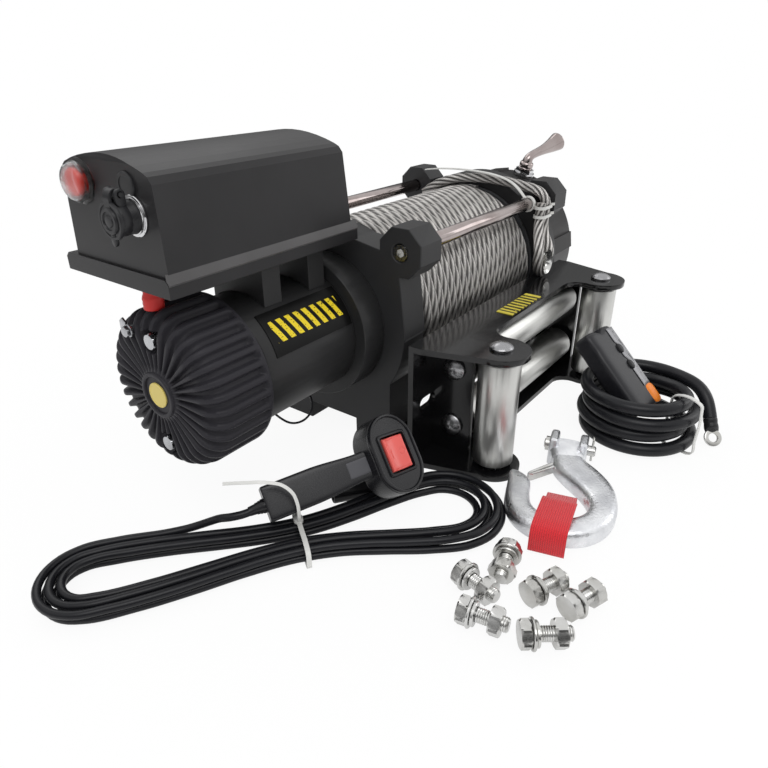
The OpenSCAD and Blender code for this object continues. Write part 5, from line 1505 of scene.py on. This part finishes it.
@dataclass
class Fasteners:
    """The mounting bolts with washers, spring washers and nuts, lying on the floor.

    Fields: x, y and yaw of each set, radii of washer and shank, width across flats, and where the thread starts
    and ends and its pitch.
    """
    sets: Rows = ((-247, -205, -102), (-206, -222, -164), (-276, -222, -79), (-240, -252, -24), (-272, -262, -52),
                   (-236, -277, -20))
    washer_r: float = 10.2
    shank_r: float = 5.0
    flats: float = 17.0
    thread: Point = (11.9, 32.4, 1.5)

    def build(self) -> None:
        """Each set along its own axis: head, washers, threaded shank and nut."""
        piece = Piece("mounting_sets")
        s, w = self.shank_r, self.washer_r
        washer = [(s + 0.1, 7.1), (w - 0.5, 7.1), (w, 7.6), (w, 8.6), (w - 0.5, 9.1), (s + 0.1, 9.1)]
        split = [(s + 0.1, 9.4), (8.0, 9.5), (8.3, 9.9), (8.3, 11.2), (8.0, 11.6), (s + 0.1, 11.7)]
        low, high, pitch = self.thread
        z = np.arange(low, high, 0.5)
        crests = np.stack([s - 0.42 * (0.5 + 0.5 * np.cos((z - low) * TURN / pitch)), z], -1)
        shank = np.concatenate([[[s - 0.3, 6.5]], crests, [[3.9, 33.0]]])
        for x, y, yaw in self.sets:
            def place(p: Array, x: float = x, y: float = y, yaw: float = yaw) -> Array:
                """Local z laid down along the yaw direction, resting on the washer's rim."""
                return turned(turned(p, "y", 90), "z", yaw) + [x, y, w]

            hexagon(piece, place, self.flats, 0.0, 6.9)
            piece.lathe(washer, place, loop=True).lathe(split, place, loop=True).lathe(shank, place, 32)
            hexagon(piece, place, self.flats, 21.0, 28.8)
        piece.finished(Finish.ZINC, "winch", "mounting_fasteners", angle=28)


@dataclass
class CableEnds:
    """Ring lugs, the round plug and the nylon ties of the cables.

    Fields: stations of a lug's barrel (place, half height, half width), the plug's mouth and its profile
    (radius, height), the hank tie's place and half width, points of its tail, the coil tie's inner and outer
    radius, top and angle, and the least height of a tie's middle.
    """
    barrel: Rows = (
        (0.3, 5.6, 5.6), (0.6, 6.1, 6.1), (2, 6.1, 6.1), (3.6, 6.0, 6.1), (4.4, 5.5, 6.0), (5.4, 5.4, 6.0),
        (6.6, 5.9, 6.1), (7.8, 6.0, 6.2), (9.2, 5.6, 6.4), (10.4, 3.9, 6.6), (11.4, 2.3, 6.6), (12.4, 1.4, 6.4),
        (13.4, 1.2, 6.0))
    plug_end: Point = (86, 43.4, 9)
    plug_profile: Rows = (
        (3.3, 0), (5.6, 0.3), (6.8, 1.2), (7.0, 3.2), (6.2, 3.6), (6.2, 4.6), (7.0, 5.0), (7.0, 7), (6.2, 7.4),
        (6.2, 8.4), (7.0, 8.8), (7.0, 11), (8.6, 11.4), (9.0, 12.2), (9.0, 45.6), (8.5, 46.6), (7.6, 46.8), (7.4, 46),
        (7.4, 32), (1.0, 31.6))
    hank_tie: Pair = (5.75, 27.4)
    hank_tail: Rows = (
        (5.75, 9, 17.6), (5.6, 5, 19.0), (5.2, 0, 24), (4.8, -4, 33), (4.0, -5.5, 43), (1.5, -5, 52), (-5, -3, 59),
        (-16, -1, 62.5), (-30, 1, 64), (-44, 3, 65))
    coil_tie: tuple[float, float, float, float] = (31.6, 59.4, 53.4, -104.0)
    floor_gap: float = 0.7

    def lug(self, piece: Piece, sleeve: Piece, at: Array, along: Array) -> None:
        """A sleeved barrel that flattens into a ring, lying flat.

        Args:
            piece: the mesh that the plate is added to.
            sleeve: the mesh that the sleeved barrel is added to.
            at: the barrel's mouth.
            along: its direction.
        """
        d = unit(along)
        n = unit(np.array([0, 0, 1.0]) - d * d[2])
        w = np.cross(d, n)
        s, h, b = np.array(self.barrel).T[:, :, None]
        a = ring_angles(40)
        sleeve.grid(at + s[..., None] * d + (h * np.cos(a))[..., None] * n + (b * np.sin(a))[..., None] * w)
        rows = rounded(circle_line(8.0, 48), 2.4, 0.4, circle_line(4.2, 48))
        plate = at + (18.3 + rows[..., :1]) * d + rows[..., 1:2] * w + (rows[..., 2:] - 1.2) * n
        piece.grid(plate, loop=True, flip=True)

    def build(self, cable: Array) -> bpy.types.Object:
        """Both lugs at the ends of the cable's line.

        Args:
            cable: the power cable's line in mm.

        Returns:
            The lugs.
        """
        piece, sleeve = Piece("ring_lugs"), Piece("lug_sleeves")
        self.lug(piece, sleeve, cable[0], cable[0] - cable[1])
        self.lug(piece, sleeve, cable[-1], cable[-1] - cable[-2])
        sleeve.finished(Finish.PLASTIC, "winch", "cable_lugs", angle=60)
        return piece.finished(Finish.ZINC, "winch", "cable_lugs", angle=40)

    def plug(self) -> bpy.types.Object:
        """The round plug: a ribbed grip, a coupling ring with shallow flutes and an open end with contacts.

        Returns:
            The plug.
        """
        lead, (x, y, z) = HandsetLead(), self.plug_end

        def place(p: Array) -> Array:
            """Local z along the hank, away from the lead."""
            return lead.on_floor(xyz(x - p[..., 2], y + p[..., 1], z + p[..., 0]))

        def flutes(a: Array, i: Array) -> Array:
            """Radius factor: shallow flutes round the foot of the coupling ring."""
            return 1 - 0.035 * (i == 14) * (0.5 + 0.5 * np.sign(np.cos(a * 14)))

        piece = Piece("round_plug").lathe(self.plug_profile, place, 56, ripple=flutes)
        contacts(piece, place, [(1.1, 31.4), (1.1, 42), (0.7, 43)], 4.0, 0.6)
        return piece.finished(Finish.PLASTIC, "winch", "lead_plug", angle=40)

    def ties(self) -> None:
        """A nylon tie round the hank, whose tail stands up past the handle, and one round the coil."""
        piece, lead, low = Piece("nylon_ties"), HandsetLead(), self.floor_gap
        x, v = self.hank_tie
        ring = [(x, side, z) for side, z in (
            (4 - v, low), (v - 4, low), (v - 0.6, 2.2), (v, 8), (v - 1.2, 14.6), (v - 6, 16.3), (0, 16.6),
            (6 - v, 16.2), (1.2 - v, 14.2), (-v, 8), (0.6 - v, 2.2), (4 - v, low))]
        across = lead.on_floor([1, 0, 0]) - lead.on_floor([0, 0, 0])
        piece.ribbon(smooth_path(lead.on_floor(ring), 1.5, low), across, 3.6, 1.1)
        piece.ribbon(smooth_path(lead.on_floor(self.hank_tail), 1.5), across, 2.4, 0.8)
        head = rounded(circle_line(3.6, 24) * [1.0, 1.2], 4.0, 0.7)
        piece.grid(lead.on_floor(head + [x, 8.5, 15.6]))
        r0, r1, top, turn = self.coil_tie
        loop = [(r0 + 4, low), (r1 - 4, low), (r1 - 0.5, 2.4), (r1, 14), (r1, top - 10), (r1 - 1.2, top - 3),
                (r1 - 7, top), (r0 + 7, top), (r0 + 1.2, top - 3), (r0, top - 10), (r0, 14), (r0 + 0.5, 2.4),
                (r0 + 4, low)]
        c, s = math.cos(math.radians(turn)), math.sin(math.radians(turn))
        cx, cy = PowerCable().centre
        band = smooth_path([(cx + r * c, cy + r * s, z) for r, z in loop], 1.5, low)
        piece.ribbon(band, (-s, c, 0), 4.0, 1.1)
        piece.finished(Finish.NYLON, "winch", "cable_ties")


@dataclass
class Remote:
    """The cordless remote that stands in the coil. Its frame: x up its length, z out of its face."""
    at: Point = (22.0, -244.2, 23.6)
    yaw: float = 80.0
    pitch: float = 42.0
    keys_x: Pair = (43.5, 61.5)

    def place(self, points: Array) -> Array:
        """Remote points pitched about y, turned about z and moved."""
        return turned(turned(points, "y", -self.pitch), "z", self.yaw) + self.at

    def case(self) -> None:
        """The case: boxes with soft corners, rounded at both ends, with a dip in the middle of the far end."""
        x = np.concatenate([[0, 0.6, 2, 4], np.linspace(7, 80, 26), [82.5, 84.6, 86.3, 87.4, 87.9]])[:, None]
        cu, cv = soft_box(72, 2 / 5)
        w = np.interp(x, [0, 0.6, 4, 60, 70, 76, 82.5, 84.6, 86.3, 87.4, 87.9],
                      [18, 20, 21, 21, 20.2, 20.8, 21, 20.6, 19.4, 17.5, 15])
        h = np.interp(x, [0, 0.6, 2, 4, 82.5, 84.6, 86.3, 87.4, 87.9], [8, 9.6, 10.6, 11, 11, 10.8, 10, 8.6, 6.5])
        dip = np.interp(x, [60, 72, 84, 88], [0, 0, 3.5, 5.0]) * np.exp(-(cu / 0.28) ** 2)
        Piece("remote_case").grid(self.place(xyz(x - dip, w * cu, h * cv))).finished(
            Finish.REMOTE, "winch", "remote_body", angle=45)

    def strip(self) -> None:
        """The grey strip down one edge, with a bite round each key and a slot along it."""
        u, v = sheet((0, 1, 60), (0, 1, 18))
        bite = 2.6 * sum(np.exp(-((u - middle) / 0.07) ** 4) for middle in (0.42, 0.68))
        edge = np.minimum(1, 10 * np.minimum(v, 1 - v)) * np.minimum(1, 30 * np.minimum(u, 1 - u))
        y = -20.2 + v * (12.4 - bite)
        slot = (np.abs(v - 0.36) < 0.06) & (u > 0.2) & (u < 0.93)
        z = np.minimum(10.75 + 0.7 * edge - 0.9 * slot + 0.12 * (y + 15), 11.9)
        piece = Piece("remote_strip").grid(self.place(xyz(20 + 64 * u, y, z)), wrap=False)
        piece.finished(Finish.GREY_STRIP, "winch", "remote_body")

    def build(self) -> None:
        """The case, the strip, two keys and the orange foot."""
        self.case()
        self.strip()
        keys = Piece("remote_keys")
        for x in self.keys_x:
            keys.lathe([(4.6, 9.8), (4.6, 11.6), (4.0, 12.6), (2.6, 13.2)],
                       lambda q, x=x: self.place(q * [1.1, 0.8, 1] + [x, -9.4, 0]), 36)
        keys.finished(Finish.PLASTIC, "winch", "remote_body")
        u, v = sheet((0, 1, 24), (-1, 1, 15))
        oval = 1 - (2 * u - 1) ** 6
        foot = xyz(0.6 + 20 * u, -14.2 + 6.4 * v * np.sqrt(np.clip(oval, 0.05, 1)), 10.6 + 1.6 * (1 - v ** 4) * oval)
        Piece("remote_foot").grid(self.place(foot), wrap=False).finished(Finish.ORANGE, "winch", "remote_body")


@dataclass
class ControlBox:
    """The control box: socket with its hinged cap, button under a clear boot.

    Fields: where the face, the lid and the button are along x, y and z of the socket, the switch and the disc,
    x and z of the hinge and of the lid's strap, and the ledge's section in y and z with its two ends along x.
    """
    face_x: float = -324.0
    lid_x: float = -338.3
    button_x: float = -326.6
    socket: Pair = (-18.0, 239.0)
    switch: Pair = (33.0, 254.0)
    disc: Pair = (-15.0, 256.0)
    hinge: Pair = (-335.0, 253.5)
    lid_strap: Rows = ((-339.6, 245.5), (-339.6, 249.5), (-339.5, 252.7), (-338.2, 254.9), (-336.0, 255.7))
    ledge: Rows = ((-42.3, 200.0), (-43.1, 201.2), (-42.9, 202.0), (-40.6, 207.6), (-40.2, 207.8), (-40.0, 200.0))
    ledge_x: Pair = (-325.6, -148.6)

    def out(self, p: Array, at: Pair, x: float) -> Array:
        """Local z out through the end of the box."""
        return xyz(x - p[..., 2], at[0] + p[..., 1], at[1] + p[..., 0])

    def along_hinge(self, p: Array) -> Array:
        """Local z along the hinge's pin."""
        return xyz(p[..., 0] + self.hinge[0], p[..., 2] + self.socket[0], p[..., 1] + self.hinge[1])

    def socket_parts(self) -> None:
        """A bright collar, and a black shell with contacts and hinge ears, with a plain disc above it."""
        place = partial(self.out, at=self.socket, x=self.face_x)
        collar = [(12.1, 0.0), (12.4, 0.4), (12.4, 1.2), (12.0, 1.6), (11.0, 1.7), (10.8, 2.8), (10.2, 2.9),
                  (10.0, 0.1)]
        Piece("socket_collar").lathe(collar, place, 64, loop=True).finished(Finish.CHROME, "winch", "socket_body")
        grooves = [(9.95 - 0.22 * (k % 2), z) for k, z in enumerate(np.linspace(3.4, 8.0, 12))]
        shell = Piece("socket_shell")
        shell.lathe([(9.0, -9.0), (9.0, 0.2), (9.8, 0.4), *grooves, (10.0, 8.4), (10.0, 13.3), (9.6, 14.0), (8.0, 14.0),
                     (7.6, 13.6), (7.6, 4.0), (1.0, 3.9)], place, 64)
        shell.lathe([(8.2, 0.0), (8.2, 1.0), (7.7, 1.5), (6.0, 1.5), (5.6, 1.1), (0.5, 1.1)],
                    partial(self.out, at=self.disc, x=self.face_x))
        contacts(shell, place, [(1.2, 3.6), (1.2, 10), (0.8, 11)], 4.2, math.pi / 4)
        b = ring_angles(40)
        x, z = self.hinge
        ear = np.stack([x + 3.2 * np.cos(b), z + 3.2 * np.sin(b) - 3.6 * (np.sin(b) < -0.2)], -1)
        rows = rounded(ear, 2.6, 0.4, circle_line(1.6, 40, self.hinge))
        for side in (-5, 5):
            y = self.socket[0] + side - 1.3 + rows[..., 2]
            shell.grid(xyz(rows[..., 0], y, rows[..., 1]), loop=True, flip=True)
        shell.finished(Finish.PLASTIC, "winch", "socket_body", angle=40)

    def lid_parts(self) -> None:
        """The socket's lid with raised rings and a finger tab, its strap, and its barrel and pin on the hinge."""
        lid = Piece("socket_lid")
        cap = partial(self.out, at=self.socket, x=self.lid_x)
        lid.lathe([(10.5, 0.0), (11.2, 0.5), (11.2, 1.9), (10.7, 2.5), (9.4, 2.5), (9.0, 1.9), (7.8, 1.9), (7.5, 3.0),
                   (7.0, 3.5), (5.4, 3.5), (5.0, 2.8), (3.8, 2.8), (3.4, 3.3), (2.0, 3.5)], cap, 72)
        k = ring_angles(16)
        tab = rounded(np.stack([2.6 * np.sin(k), 4.6 * np.cos(k)], -1), 2.2, 0.4)
        lid.grid(cap(xyz(tab[..., 1] - 10.4, tab[..., 0], tab[..., 2] + 0.1)), flip=True)
        strap = [(x, self.socket[0], z) for x, z in self.lid_strap]
        lid.ribbon(smooth_path(strap, 0.8), (0, 1, 0), 6.0, 2.2)
        lid.lathe([(2.6, -2.9), (3.0, -2.5), (3.0, 2.5), (2.6, 2.9)], self.along_hinge, 32)
        lid.lathe([(1.4, -7.4), (1.4, 7.4)], self.along_hinge, 16)
        lid.finished(Finish.PLASTIC, "cap", "socket_cap", angle=40)

    def button_parts(self) -> None:
        """The clear boot: a flange, a bellows fold and a dome, as a skin 1 mm thick, over the red button."""
        a = np.linspace(0.0, np.pi / 2 - 0.02, 12)
        outer = [(13.6, 0.0), (14.0, 0.5), (14.0, 1.4), (13.5, 2.0), (12.2, 2.4), (12.0, 3.2), (12.5, 4.2), (12.2, 5.2),
                 (11.6, 5.8)] + [(11.6 * math.cos(t), 5.8 + 5.6 * math.sin(t)) for t in a[1:]]
        inner = [(10.8 * math.cos(t), 5.6 + 4.9 * math.sin(t)) for t in a[::-1]]
        inner += [(11.0, 4.2), (10.8, 3.0), (10.4, 0.0)]
        boot = Piece("clear_boot_skin").lathe(outer + inner, partial(self.out, at=self.switch, x=self.face_x), 72,
                                              loop=True, ripple=lambda b, i: 1 + 0.03 * np.cos(b * 8) * (i < 8))
        boot.finished(Finish.CLEAR, "winch", "switch_boot", angle=60)
        profile = [(6.0, -12), (6.0, -0.2), (7.9, 0.0), (8.3, 0.4), (8.3, 3.2), (7.8, 4.1), (7.0, 4.4), (4.0, 4.0)]
        knob = Piece("button_knob").lathe(profile, partial(self.out, at=self.switch, x=self.button_x), 56)
        knob.finished(Finish.RED, "button", "power_button", angle=45)

    def build(self) -> None:
        """Socket, lid, button, the finishes of the solids and the narrow ledge along the cover's lower edge, coloured
        lighter than the cover as a painted highlight.
        """
        self.socket_parts()
        self.lid_parts()
        self.button_parts()
        dress(Finish.COVER, "box_cover", edge_mm=1.6)
        section = np.array(self.ledge)
        ledge = xyz(np.linspace(*self.ledge_x, 60)[:, None], section[:, 0], section[:, 1])
        # painted highlight: the ledge gets a lighter copy of the cover's plastic
        Piece("cover_ledge").grid(ledge, flip=True).finished(Finish.LEDGE, "winch", slot="cover_plastic")
        dress(Finish.SATIN_BLACK, "box_bracket", edge_mm=0.6)
        dress(Finish.PLASTIC, "contactor", edge_mm=0.6)


@dataclass
class Body:
    """The frame, motor, gearbox, drum and fairlead, whose solids keep their own shape.

    Fields: each finish, the width of its softened edges in mm, and its nodes.
    """
    coats: tuple = (
        (Finish.BLACK_SUPPORT, 1.0, "motor_support", "gear_support"),
        (Finish.ROD, 0.4, "tie_rods"),
        (Finish.ZINC, 0.3, "tie_rod_bolts"),
        (Finish.DRUM_PAINT, 0.5, "drum"),
        (Finish.BRASS, 0.0, "drum_bushes", "brush_gear"),
        (Finish.STEEL, 0.0, "drive_shaft", "ring_gear", "first_stage", "second_stage", "output_stage"),
        (Finish.FRICTION, 0.0, "drum_brake"),
        (Finish.SATIN_BLACK, 0.8, "motor_end_bell", "motor_can"),
        (Finish.WINDING, 0.0, "field_poles", "armature"),
        (Finish.LABEL, 0.0, "can_label"),
        (Finish.HOUSING, 1.0, "gear_housing"),
        (Finish.GLOSS_BLACK, 0.8, "fairlead_frame"),
        (Finish.ROLLER, 0.5, "left_roller", "right_roller", "upper_roller", "lower_roller"),
        (Finish.PIN_STEEL, 0.4, "roller_pins"),
        (Finish.PLATE_BARS, 0.2, "fairlead_plate"))

    def build(self) -> None:
        """Gives each of these nodes its finish."""
        for finish, edge_mm, *nodes in self.coats:
            dress(finish, *nodes, edge_mm=edge_mm)


def main() -> None:
    """Builds the studio, the cords and every sub-assembly."""
    logging.basicConfig(level=logging.INFO, format="%(name)s %(message)s")
    Studio().build()
    handset = Handset()
    ends = CableEnds()
    HandsetLead().build(handset, ends.plug())
    cable = PowerCable()
    cable.build(ends.build(cable.line()))
    ends.ties()
    WireRope().build()
    handset.build()
    for part in (Body, MotorCap, ControlBox, Clutch, Hook, Fasteners, Remote):
        part().build()
    log.info("size written")


if __name__ == "__main__":
    main()
